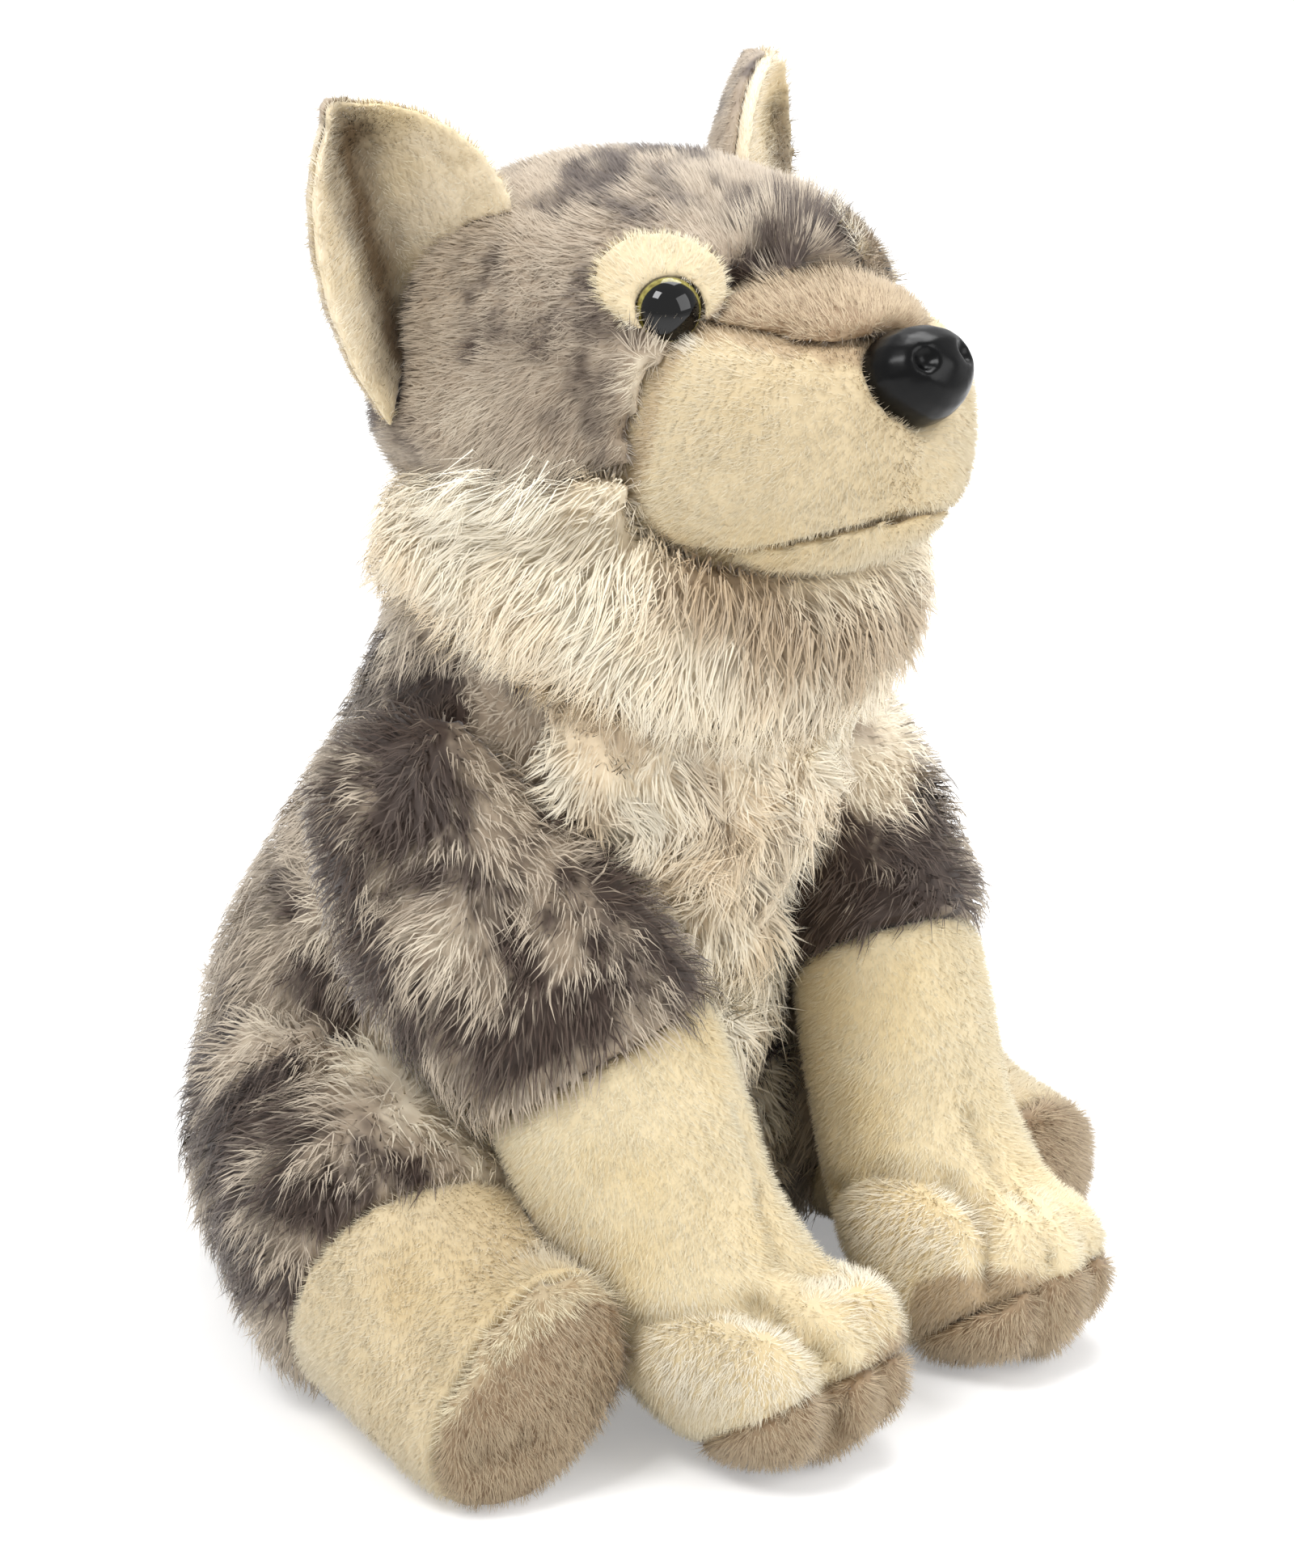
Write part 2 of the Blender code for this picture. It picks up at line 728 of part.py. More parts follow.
def ear_point(side, share, height):
    """A point of the cupped leaf between an ear's two layers; share runs from -1 to 1 across it."""
    fullness = (1 - height**1.8) ** 0.65 * (1 - 0.22 * (1 - height) ** 2)
    half = EAR_WIDTH / 2 * max(fullness, 0.12)
    slant = -side * share * EAR_SLANT * (1 - height)
    cup = EAR_CUP * share**2 * (1 - 0.6 * height)
    return Vector((share * half, -cup, height * EAR_LENGTH + slant))


def ear_layer(side, low, high):
    """One layer of an ear, which runs from low to high behind the leaf between the two."""
    columns = [index / 3 - 1 for index in range(7)]
    rows = [math.sin(math.pi / 2 * index / 7) for index in range(8)]
    bm = bmesh.new()
    layers = []
    for offset in (low, high):
        behind = Vector((0, offset, 0))
        leaf = [[ear_point(side, share, height) + behind for share in columns] for height in rows]
        layers.append([[bm.verts.new(point) for point in line] for line in leaf])
    top, edge = len(rows) - 1, len(columns) - 1
    for layer in layers:
        for row in range(top):
            for column in range(edge):
                near, far = layer[row], layer[row + 1]
                bm.faces.new((near[column], near[column + 1], far[column + 1], far[column]))
    rim = [(0, column) for column in range(edge + 1)]
    rim += [(row, edge) for row in range(1, top + 1)]
    rim += [(top, column) for column in range(edge - 1, -1, -1)]
    rim += [(row, 0) for row in range(top - 1, 0, -1)]
    join_rings(bm, [[layer[row][column] for row, column in rim] for layer in layers])
    bmesh.ops.triangulate(bm, faces=bm.faces)
    bmesh.ops.recalc_face_normals(bm, faces=bm.faces)
    return bm


def ear_frame(side):
    turn = (
        Matrix.Rotation(side * EAR_SPLAY, 4, "Y")
        @ Matrix.Rotation(-EAR_BACKWARD, 4, "X")
        @ Matrix.Rotation(side * EAR_FACING, 4, "Z")
    )
    return Matrix.Translation((side * EAR_SPACING / 2, EAR_SETBACK, EAR_LIFT)) @ turn


def build_ear(name, side, pivot, head_space):
    layers = {
        f"ear_lining_{name}": (-EAR_LAYER, 0.0, "cream_short_pile"),
        f"ear_back_{name}": (SEAM_GAP, SEAM_GAP + EAR_LAYER, "grey_long_pile"),
    }
    for label, (low, high, finish_name) in layers.items():
        layer = link(label, placed(ear_layer(side, low, high), ear_frame(side)), pivot)
        finish(cut(layer, head_space), finish_name)


def build_head():
    pivot = head_pivot()
    skin = head_form()
    muzzle_skin = muzzle_form()
    head_space = helper("head_space", grown(skin, SEAM_GAP), pivot)
    muzzle_space = helper("muzzle_space", grown(muzzle_skin, SEAM_GAP), pivot)
    head = link("head", skin.copy(), pivot)
    cut(head, muzzle_space, helper("under_jaw_seam", collar_block(SEAM_GAP * 1.5), pivot))
    collar_region = helper("collar_region", collar_block(0.0), pivot)
    cheek_base = kept_within(helper("cheek_base", skin.copy(), pivot), collar_region)
    seam_region = helper("jaw_seam_region", collar_block(SEAM_GAP / 2), pivot)
    above_seam = cut(helper("above_jaw_seam", grown(skin, SEAM_GAP), pivot), seam_region)
    eye_spaces = []
    for name, side in SIDES.items():
        hole, seat = build_eye(name, side, pivot)
        eye_spaces += [hole, seat]
        patch = build_eye_patch(name, side, pivot, skin)
        finish(cut(patch, head_space, muzzle_space, seat), "cream_short_pile")
        build_ear(name, side, pivot, head_space)
    finish(cut(head, *eye_spaces), "grey_long_pile")
    build_muzzle(pivot, muzzle_skin, eye_spaces)
    skin.free()
    muzzle_skin.free()
    return head_space, muzzle_space, cheek_base, above_seam


def build_muzzle(pivot, skin, eye_spaces):
    """The muzzle's cream sides, its tan bridge and the chin under the mouth line, with the nose."""
    half_gap = SEAM_GAP / 2
    frame = nose_frame()
    above_seam = helper("above_bridge_seam", bridge_block(-half_gap), pivot)
    below_mouth = helper("below_mouth_line", chin_block(-half_gap), pivot)
    pocket = washer_pocket(NOSE_SHANK_RADIUS, NOSE_SHANK_LENGTH, NOSE_WASHER_RADIUS)
    hole = helper("nose_pocket", placed(pocket, frame), pivot)
    seat = helper("nose_seat", placed(nose_dome(SEAM_GAP), frame), pivot)

    muzzle = link("muzzle", skin.copy(), pivot)
    finish(cut(muzzle, above_seam, below_mouth, hole, seat, *eye_spaces), "cream_short_pile")
    bridge = link("muzzle_bridge", skin.copy(), pivot)
    cut(bridge, hole, seat, *eye_spaces)
    finish(kept_within(bridge, helper("bridge_region", bridge_block(half_gap), pivot)), "tan_short_pile")
    chin = link("chin", skin.copy(), pivot)
    kept_within(chin, helper("chin_region", chin_block(half_gap), pivot))
    finish(chin, "cream_short_pile")
    build_nose(pivot, frame)


def nose_dome(grow=0.0):
    """The nose's shield: broad and round above, drawn to a blunt point below."""
    width, height = NOSE_WIDTH / 2 + grow, NOSE_HEIGHT / 2 + grow
    bm = bmesh.new()
    rings = []
    for share in (-0.30, 0.0, 0.34, 0.62, 0.84):
        swell = (1 - abs(share) ** 2.3) ** 0.5
        ring = []
        for u, v in outline(width * swell, height * swell, 2.2, 18):
            narrow = 1 - 0.34 * max(0.0, -v / height) ** 1.2
            ring.append(bm.verts.new((u * narrow, v, share * (NOSE_PROUD + grow))))
        rings.append(ring)
    back = [bm.verts.new((0, 0, rings[0][0].co.z))]
    tip = [bm.verts.new((0, 0, NOSE_PROUD + grow))]
    join_rings(bm, [back, *rings, tip])
    bmesh.ops.recalc_face_normals(bm, faces=bm.faces)
    return bm


def build_nose(pivot, frame):
    nose = link("nose", placed(nose_dome(), frame), pivot)
    shank = turned(shank_profile(NOSE_SHANK_RADIUS, NOSE_SHANK_LENGTH, 0.0) + [(0, 0.0)], 12)
    boolean(nose, helper("nose_shank", placed(shank, frame), pivot), "UNION")
    for name, side in SIDES.items():
        dent = bmesh.new()
        bmesh.ops.create_uvsphere(dent, u_segments=8, v_segments=5, radius=NOSTRIL_RADIUS)
        dent.transform(Matrix.Translation((side * NOSTRIL_SPACING / 2, NOSTRIL_LIFT, NOSE_PROUD * 0.90)))
        cut(nose, helper(f"nostril_{name}", placed(dent, frame), pivot))
    finish(nose, "black_plastic")
    ring = washer_ring(NOSE_SHANK_RADIUS, NOSE_WASHER_RADIUS)
    finish(link("nose_washer", placed(ring, frame), pivot), "washer_plastic")


# Front legs

def foreleg_stations(side):
    """From the shoulder down to the toes. The leg's broad side faces out and forward, the paw's up."""
    twist = -side * LEG_TWIST
    sleeve = (SLEEVE_WIDTH / 2, SLEEVE_DEPTH / 2)
    leg = (FORELEG_WIDTH / 2, FORELEG_DEPTH / 2)
    paw = (FOREPAW_WIDTH / 2, FOREPAW_HEIGHT / 2)
    shoulder_x, elbow_x = side * SHOULDER_SPACING / 2, side * ELBOW_SPACING / 2
    cuff_x, paw_x = side * CUFF_SPACING / 2, side * FOREPAW_SPACING / 2
    ankle_x = (cuff_x + paw_x) / 2
    toes = (FOREPAW_REACH + FOREPAW_TOE_REACH) / 2
    level = FOREPAW_HEIGHT / 2
    return [
        Section(shoulder_x, -SHOULDER_LEAN, SHOULDER_HEIGHT, sleeve[0] * 0.86, sleeve[1] * 0.9, 2.1, twist),
        Section(elbow_x, -ELBOW_REACH, ELBOW_HEIGHT, *sleeve, 2.1, twist),
        Section(cuff_x, -CUFF_REACH, CUFF_HEIGHT, leg[0] * 1.08, leg[1] * 1.08, 2.1, twist * 0.9),
        Section(ankle_x, -ANKLE_REACH, ANKLE_HEIGHT, leg[0], leg[1] * 1.06, 2.1, twist * 0.6),
        Section(paw_x, -FOREPAW_REACH, level * 1.16, paw[0], paw[1] * 1.16, 2.2, 0.0),
        Section(paw_x, -toes, level + FOREPAW_TOE_LIFT, paw[0] * 0.97, paw[1], 2.3, 0.0),
    ]


def foreleg_form(side):
    toes = (FOREPAW_REACH + FOREPAW_TOE_REACH) / 2
    crease_start = FOREPAW_REACH + TOE_CREASE_WIDTH
    domes = (SLEEVE_WIDTH * 0.3, FOREPAW_TOE_REACH - toes)
    bm = loft(foreleg_stations(side), sides=16, steps=2, domes=domes)

    def heart(place):
        return Vector((place.x, max(place.y, -toes), FOREPAW_HEIGHT / 2))

    def strength(place):
        return min(1.0, max(0.0, (-place.y - crease_start) / (toes - crease_start)))

    for share in (-0.5, 0.5):
        crease_x = side * FOREPAW_SPACING / 2 + share * TOE_SPACING
        creased(bm, crease_x, TOE_CREASE_WIDTH, TOE_CREASE_DEPTH, heart, strength)
    return on_ground(bm)


def cuff_plane(side):
    """A point and a normal of the seam between the sleeve and the lower leg, the normal up the leg."""
    middle = Vector((side * CUFF_SPACING / 2, -CUFF_REACH, CUFF_HEIGHT))
    above = Vector((side * ELBOW_SPACING / 2, -ELBOW_REACH, ELBOW_HEIGHT))
    below = Vector((side * (CUFF_SPACING + FOREPAW_SPACING) / 4, -ANKLE_REACH, ANKLE_HEIGHT))
    return middle, above - below


def forepad_plane():
    """A point and a normal of the seam round the sole, the normal up into the paw."""
    point = (0, -FOREPAW_TOE_REACH, FOREPAD_FRONT_HEIGHT)
    return point, (0, math.sin(FOREPAD_SLOPE), math.cos(FOREPAD_SLOPE))


def build_foreleg(name, side, body_spaces):
    whole = foreleg_form(side)
    seam, upward = cuff_plane(side)
    sole, into = forepad_plane()
    half_gap = SEAM_GAP / 2

    sleeve = link(f"upper_foreleg_{name}", keep_side(whole.copy(), seam, upward, half_gap))
    finish(cut(sleeve, *body_spaces), "grey_long_pile")
    shin = keep_side(whole.copy(), seam, opposite(upward), half_gap)
    shin = link(f"lower_foreleg_{name}", keep_side(shin, sole, into, half_gap))
    finish(cut(shin, *body_spaces), "cream_short_pile")
    pad = link(f"forepaw_pad_{name}", keep_side(whole.copy(), sole, opposite(into), half_gap))
    finish(pad, "tan_short_pile")

    space = helper(f"foreleg_space_{name}", grown(whole, SEAM_GAP))
    whole.free()
    return space


# Hind legs

def hindpaw_level(roll):
    """How high the middle of the sole stands when the foot rests on its rim with this roll."""
    upright = HINDPAW_LENGTH / 2 * math.sin(roll)
    across = HINDPAW_WIDTH / 2 * math.cos(roll)
    return math.hypot(upright, across) - SEAM_GAP


def hind_stations(side, roll, tuck):
    """From the hip forward to the sole, with the foot rolled out and the leg drawn in by tuck."""
    hip_x = side * HIP_SPACING / 2
    stifle_x, paw_x = (side * (spacing / 2 - tuck) for spacing in (STIFLE_SPACING, HINDPAW_SPACING))
    thigh = (THIGH_WIDTH / 2, THIGH_DEPTH / 2)
    leg = (HIND_LEG_WIDTH / 2, HIND_LEG_DEPTH / 2)
    sole = (HINDPAW_LENGTH / 2, HINDPAW_WIDTH / 2)
    level = hindpaw_level(roll)
    turn = -side * roll
    mid_reach = STIFLE_REACH * 0.3 + HINDPAW_REACH * 0.7
    mid_x = stifle_x * 0.3 + paw_x * 0.7
    mid_level = (level + HIND_LEG_DEPTH / 2) / 2 + HIND_ANKLE_LIFT
    return [
        Section(hip_x, HIP_SETBACK, HIP_HEIGHT, thigh[0] * 0.92, thigh[1] * 0.92, 2.1, 0.0),
        Section(stifle_x, -STIFLE_REACH, STIFLE_HEIGHT, thigh[0] * 0.92, thigh[1] * 0.90, 2.1, 0.0),
        Section(mid_x, -mid_reach, mid_level, *leg, 2.1, turn * 0.6),
        Section(paw_x, -HINDPAW_REACH, level, sole[0], sole[1] * 1.08, 2.2, turn),
    ]


def hind_form(side, roll, tuck):
    domes = (THIGH_DEPTH * 0.25, HINDPAD_THICKNESS)
    return on_ground(loft(hind_stations(side, roll, tuck), sides=16, steps=2, domes=domes))


def build_hind_leg(name, side, body_spaces):
    whole = hind_form(side, HINDPAW_ROLLS[name], HIND_TUCKS[name])
    half_gap = SEAM_GAP / 2
    seam = (side * STIFLE_SPACING / 2, -THIGH_SEAM_REACH, STIFLE_HEIGHT)
    outward = (side * 0.35, -1.0, -THIGH_SEAM_LEAN)
    toe = (side * HINDPAW_SPACING / 2, -HINDPAW_REACH, 0)
    forward = (side * 0.16, -1.0, 0.0)

    thigh = link(f"thigh_{name}", keep_side(whole.copy(), seam, opposite(outward), half_gap))
    finish(cut(thigh, *body_spaces), "grey_long_pile")
    shank = keep_side(whole.copy(), seam, outward, half_gap)
    shank = link(f"hind_leg_{name}", keep_side(shank, toe, opposite(forward), half_gap))
    finish(cut(shank, *body_spaces), "cream_short_pile")
    pad = link(f"hindpaw_pad_{name}", keep_side(whole.copy(), toe, forward, half_gap))
    finish(cut(pad, *body_spaces), "tan_short_pile")

    space = helper(f"hind_space_{name}", grown(whole, SEAM_GAP))
    whole.free()
    return space


# Torso, the panels on it, the ruff and the tail

def build_body(head_space, muzzle_space, cheek_base, above_seam):
    form = torso_form()
    torso_space = helper("torso_space", grown(form, SEAM_GAP))
    torso = link("torso", form.copy())
    finish(cut(torso, head_space, muzzle_space), "grey_long_pile")

    leg_spaces = []
    for name, side in SIDES.items():
        foreleg_space = build_foreleg(name, side, (torso_space,))
        leg_spaces += [foreleg_space, build_hind_leg(name, side, (torso_space, foreleg_space))]

    bib = kept_within(link("chest_bib", grown(form, BIB_PROUD)), helper("bib_region", bib_block()))
    collar = ruff_form()
    ruff_space = helper("ruff_space", grown(collar, 2 * SEAM_GAP))
    finish(cut(bib, torso_space, head_space, muzzle_space, ruff_space, *leg_spaces), "cream_long_pile")
    belly = kept_within(link("belly_panel", grown(form, BELLY_PROUD)), helper("belly_region", belly_block()))
    bib_space = kept_within(
        helper("bib_space", grown(form, BIB_PROUD + SEAM_GAP)), bpy.data.objects["bib_region"]
    )
    finish(cut(belly, torso_space, bib_space, *leg_spaces), "cream_long_pile")
    ruff = cut(link("ruff", collar), torso_space, above_seam)
    boolean(ruff, cheek_base, "UNION")
    finish(cut(ruff, muzzle_space, *leg_spaces), "cream_long_pile")
    build_tail((torso_space, *leg_spaces))
    form.free()


def build_tail(body_spaces):
    back = SEAT_DEPTH / 2
    half = TAIL_WIDTH / 2
    run = TAIL_TIP_SIDE - TAIL_ROOT_SIDE
    first, second = TAIL_ROOT_SIDE + run * 0.22, TAIL_ROOT_SIDE + run * 0.62
    stations = [
        Section(TAIL_ROOT_SIDE, back - TAIL_ROOT_SINK, TAIL_HEIGHT * 0.70, half * 0.68, half * 0.68),
        Section(first, back + TAIL_REACH * 0.30, TAIL_HEIGHT * 0.58, half * 0.92, half * 0.90),
        Section(second, back + TAIL_REACH * 0.34, TAIL_HEIGHT * 0.50, half, TAIL_HEIGHT / 2),
        Section(TAIL_TIP_SIDE, back + TAIL_REACH * 0.08, TAIL_HEIGHT * 0.42, half * 0.72, TAIL_HEIGHT * 0.40),
    ]
    domes = (TAIL_ROOT_ROUNDING, TAIL_TIP_ROUNDING)
    form = loft(stations, sides=12, steps=2, width_axis=(0, 0, 1), domes=domes)
    finish(cut(link("tail", on_ground(form)), *body_spaces), "grey_long_pile")


def main():
    clear_scene()
    build_body(*build_head())


main()
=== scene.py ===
"""Dresses the seated plush wolf: sewn cloth panels, long and short pile, eyes, nose and a pale studio."""

import json
import math
from typing import NamedTuple

import bmesh
import bpy
import numpy as np
from mathutils import Matrix, Vector
from mathutils.bvhtree import BVHTree

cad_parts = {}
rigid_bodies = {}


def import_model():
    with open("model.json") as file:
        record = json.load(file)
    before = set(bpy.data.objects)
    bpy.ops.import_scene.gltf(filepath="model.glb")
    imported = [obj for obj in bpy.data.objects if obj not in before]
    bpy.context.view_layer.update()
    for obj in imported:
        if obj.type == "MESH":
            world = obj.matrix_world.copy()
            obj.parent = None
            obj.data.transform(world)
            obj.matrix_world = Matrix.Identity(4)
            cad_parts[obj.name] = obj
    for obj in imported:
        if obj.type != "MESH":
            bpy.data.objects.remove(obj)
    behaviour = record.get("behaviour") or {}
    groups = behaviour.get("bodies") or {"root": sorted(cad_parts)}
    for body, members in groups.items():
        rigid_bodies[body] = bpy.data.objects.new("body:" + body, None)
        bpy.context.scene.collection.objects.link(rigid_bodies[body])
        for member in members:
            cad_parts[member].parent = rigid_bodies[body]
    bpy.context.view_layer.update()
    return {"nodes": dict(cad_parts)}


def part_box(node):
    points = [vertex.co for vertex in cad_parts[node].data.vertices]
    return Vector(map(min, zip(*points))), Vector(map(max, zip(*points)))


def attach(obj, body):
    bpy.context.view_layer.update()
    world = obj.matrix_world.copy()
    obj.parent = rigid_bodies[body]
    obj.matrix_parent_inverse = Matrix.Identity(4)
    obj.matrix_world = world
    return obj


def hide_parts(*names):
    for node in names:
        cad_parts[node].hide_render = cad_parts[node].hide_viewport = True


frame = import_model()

bl_info = {
    "name": "Plush wolf",
    "version": (1, 0, 0),
    "blender": (4, 5, 0),
    "location": "3D View > Sidebar > Plush wolf",
    "description": "Sews and brushes the pile of a seated plush wolf round its packed frame",
    "category": "Object",
}

# The photograph's view: its azimuth, elevation and distance, and what it shows at the frame's centre
VIEW_AZIMUTH = math.radians(-46.0)
VIEW_ELEVATION = math.radians(20.0)
VIEW_DISTANCE = 1.2
PHOTO_HEIGHT = 1939.0
PHOTO_CENTRE = (800.0, 969.5)
ORIGIN_PIXEL = (640.0, 1533.0)
PIXELS_PER_METRE = 5270.0
FILM = 36.0


def view_axes():
    """The camera's right, up and backward directions."""
    level = math.cos(VIEW_ELEVATION)
    back = Vector((math.sin(VIEW_AZIMUTH) * level, -math.cos(VIEW_AZIMUTH) * level, math.sin(VIEW_ELEVATION)))
    right = Vector((math.cos(VIEW_AZIMUTH), math.sin(VIEW_AZIMUTH), 0.0))
    return right, back.cross(right), back


def view_eye():
    """Where the camera stands."""
    right, up, back = view_axes()
    across = (PHOTO_CENTRE[0] - ORIGIN_PIXEL[0]) / PIXELS_PER_METRE
    rise = (ORIGIN_PIXEL[1] - PHOTO_CENTRE[1]) / PIXELS_PER_METRE
    return right * across + up * rise + back * VIEW_DISTANCE


def pixel_ray(pixel):
    """The direction from the camera through one pixel of the photograph."""
    right, up, back = view_axes()
    across = (pixel[0] - PHOTO_CENTRE[0]) / PIXELS_PER_METRE
    rise = (PHOTO_CENTRE[1] - pixel[1]) / PIXELS_PER_METRE
    return (right * across + up * rise - back * VIEW_DISTANCE).normalized()


def photo_pixels(points):
    """Where the photograph shows each point."""
    right, up, back = (np.array(axis) for axis in view_axes())
    offset = points - np.array(view_eye())
    scale = VIEW_DISTANCE * PIXELS_PER_METRE / -(offset @ back)
    return PHOTO_CENTRE[0] + offset @ right * scale, PHOTO_CENTRE[1] - offset @ up * scale


# How far a seam wanders and how wide it fades, in the photograph's pixels, and its waves in metres
SEAM_FRAY = 7.0
SEAM_SOFT = 10.0
SEAM_WAVE = 0.006


def below_seam(seam, turned=1.0, mirrored=False):
    """A dye that is 1 below a seam of the photograph, or above it if turned is -1."""
    across, down = zip(*seam)

    def dye_and_shade(roots):
        if mirrored:
            roots = roots * (0.0, 1.0, 1.0) - np.abs(roots) * (1.0, 0.0, 0.0)
        x, y = photo_pixels(roots)
        past = (y - np.interp(x, across, down)) * turned + ripple(roots, SEAM_WAVE, 71) * SEAM_FRAY
        return np.clip(0.5 + past / SEAM_SOFT, 0, 1) * ((x > across[0]) & (x < across[-1]))
    return dye_and_shade


class Value:
    """A number that varies over a surface. Sums and products of it add Math nodes."""

    def __init__(self, finish, socket):
        self.finish = finish
        self.socket = socket

    def maths(self, operation, first, second):
        """Adds one Math node."""
        node = self.finish.node("ShaderNodeMath", {"operation": operation}, {0: first, 1: second})
        return Value(self.finish, node.outputs[0])

    def __add__(self, other):
        return self.maths("ADD", self, other)

    __radd__ = __add__

    def __mul__(self, other):
        return self.maths("MULTIPLY", self, other)

    __rmul__ = __mul__

    def __sub__(self, other):
        return self.maths("SUBTRACT", self, other)

    def __rsub__(self, other):
        return self.maths("SUBTRACT", other, self)

    def between(self, low, high):
        """0 at low, 1 at high, eased and held beyond them."""
        limits = {"Value": self, "From Min": low, "From Max": high}
        node = self.finish.node("ShaderNodeMapRange", {"interpolation_type": "SMOOTHSTEP"}, limits)
        return Value(self.finish, node.outputs["Result"])


class Finish:
    """A material with one Principled shader."""

    def __init__(self, name, **shader_values):
        self.material = bpy.data.materials.new(name)
        self.material.use_nodes = True
        self.tree = self.material.node_tree
        self.shader = self.tree.nodes["Principled BSDF"]
        for socket, value in shader_values.items():
            self.shader.inputs[socket.replace("_", " ")].default_value = value

    def node(self, kind, settings=None, inputs=None):
        """Adds a node, with its settings first and then its sockets' values or links."""
        made = self.tree.nodes.new(kind)
        for name, setting in (settings or {}).items():
            setattr(made, name, setting)
        for name, given in (inputs or {}).items():
            self.feed(made.inputs[name], given)
        return made

    def feed(self, socket, given):
        """Links a value or an output to the socket, or sets it."""
        if isinstance(given, Value):
            given = given.socket
        if isinstance(given, bpy.types.NodeSocket):
            self.tree.links.new(given, socket)
        else:
            socket.default_value = given

    def paint(self, socket, given):
        """Feeds one socket of the shader."""
        self.feed(self.shader.inputs[socket], given)

    def mix(self, factor, first, second, blend="MIX"):
        """first where the factor is 0, second where it is 1."""
        settings = {"data_type": "RGBA", "blend_type": blend, "clamp_factor": True}
        node = self.node("ShaderNodeMix", settings, {0: factor, 6: first, 7: second})
        return node.outputs[2]

    def place(self):
        """Where the shaded point lies."""
        return self.node("ShaderNodeTexCoord").outputs["Object"]

    def noise(self, size, detail=2.0, roughness=0.5):
        """Noise whose features are about that size, in metres."""
        inputs = {"Vector": self.place(), "Scale": 1.0 / size, "Detail": detail, "Roughness": roughness}
        return Value(self, self.node("ShaderNodeTexNoise", None, inputs).outputs["Fac"])

    def strand(self):
        """Where on its strand a point lies, the strand's own chance number, its share of second tone and
        painted shade, and its crown.
        """
        read = self.node("ShaderNodeAttribute", {"attribute_name": STRAND_FACTS})
        parts = self.node("ShaderNodeSeparateColor", None, {"Color": read.outputs["Color"]})
        return [Value(self, parts.outputs[i]) for i in range(3)] + [Value(self, read.outputs["Alpha"])]

    def bump(self, height, strength, distance):
        """Roughens the surface by a height."""
        inputs = {"Height": height, "Strength": strength, "Distance": distance}
        self.paint("Normal", self.node("ShaderNodeBump", None, inputs).outputs["Normal"])


# The attribute that each strand carries, and the map that gives each strand a cell of its own
STRAND_FACTS = "strand"
BAKE_MAP = "OFBake"


def shade(colour):
    """A colour as seen on screen, as the linear values that a shader takes."""
    linear = [c / 12.92 if c <= 0.04045 else ((c + 0.055) / 1.055) ** 2.4 for c in colour]
    return (*linear, 1.0)


def unit(vectors):
    """The vectors at length 1."""
    lengths = np.linalg.norm(vectors, axis=-1, keepdims=True)
    return vectors / np.maximum(lengths, 1e-9)


def ripple(points, size, seed, waves=7):
    """Smooth chance values from -1 to 1 over space, with features of about that size."""
    draw = np.random.default_rng(seed)
    total = np.zeros(len(points))
    for _ in range(waves):
        along = points @ unit(draw.normal(size=3))
        total += np.sin(along * (2 * math.pi / size) * draw.uniform(0.6, 1.4) + draw.uniform(0, 7))
    return total / math.sqrt(waves * 0.5) * 0.6


def ripples(points, size, seed):
    """Three of those for each point, as a vector."""
    return np.stack([ripple(points, size, seed + i) for i in range(3)], axis=1)


def only(piece):
    """Leaves this piece alone selected and active."""
    bpy.ops.object.select_all(action="DESELECT")
    piece.select_set(True)
    bpy.context.view_layer.objects.active = piece


def apply_modifier(piece, kind, **settings):
    """Shapes the piece with one modifier."""
    only(piece)
    modifier = piece.modifiers.new(kind.title(), kind)
    for name, setting in settings.items():
        setattr(modifier, name, setting)
    bpy.ops.object.modifier_apply(modifier=modifier.name)


# Points of a solid that are closer than this are one
MERGE = 0.00001
# The filling's push on the cloth, and for how many frames it is simulated
CLOTH_PRESSURE = 4.0
CLOTH_FRAMES = 20
# The least height of a point of cloth or pile above the floor
FLOOR_GAP = 0.0002


def panel_copy(node, name):
    """The node's solid as one joined mesh, in an object of its own."""
    mesh = frame["nodes"][node].data.copy()
    mesh.name = name
    mesh.materials.clear()
    bm = bmesh.new()
    bm.from_mesh(mesh)
    bmesh.ops.remove_doubles(bm, verts=bm.verts, dist=MERGE)
    bm.to_mesh(mesh)
    bm.free()
    piece = bpy.data.objects.new(name, mesh)
    bpy.context.scene.collection.objects.link(piece)
    return piece


def points_of(mesh):
    """The places of the mesh's points, one a row."""
    flat = np.empty(len(mesh.vertices) * 3)
    mesh.vertices.foreach_get("co", flat)
    return flat.reshape(-1, 3)


def fill_panel(piece, limit):
    """Blows the panel up from inside as its filling does, and lets no point move past the limit."""
    before = points_of(piece.data)
    only(piece)
    cloth = piece.modifiers.new("Filling", "CLOTH")
    cloth.settings.use_pressure = True
    cloth.settings.uniform_pressure_force = CLOTH_PRESSURE
    cloth.settings.effector_weights.gravity = 0.0
    cloth.point_cache.frame_start = 1
    cloth.point_cache.frame_end = CLOTH_FRAMES
    for step in range(1, CLOTH_FRAMES + 1):
        bpy.context.scene.frame_set(step)
    bpy.ops.object.modifier_apply(modifier=cloth.name)
    bpy.context.scene.frame_set(1)
    moved = points_of(piece.data) - before
    far = np.linalg.norm(moved, axis=1, keepdims=True)
    kept = before + moved * np.minimum(1.0, limit / np.maximum(far, 1e-9))
    kept[:, 2] = np.maximum(kept[:, 2], np.minimum(before[:, 2], FLOOR_GAP))
    piece.data.vertices.foreach_set("co", kept.ravel())
    piece.data.update()


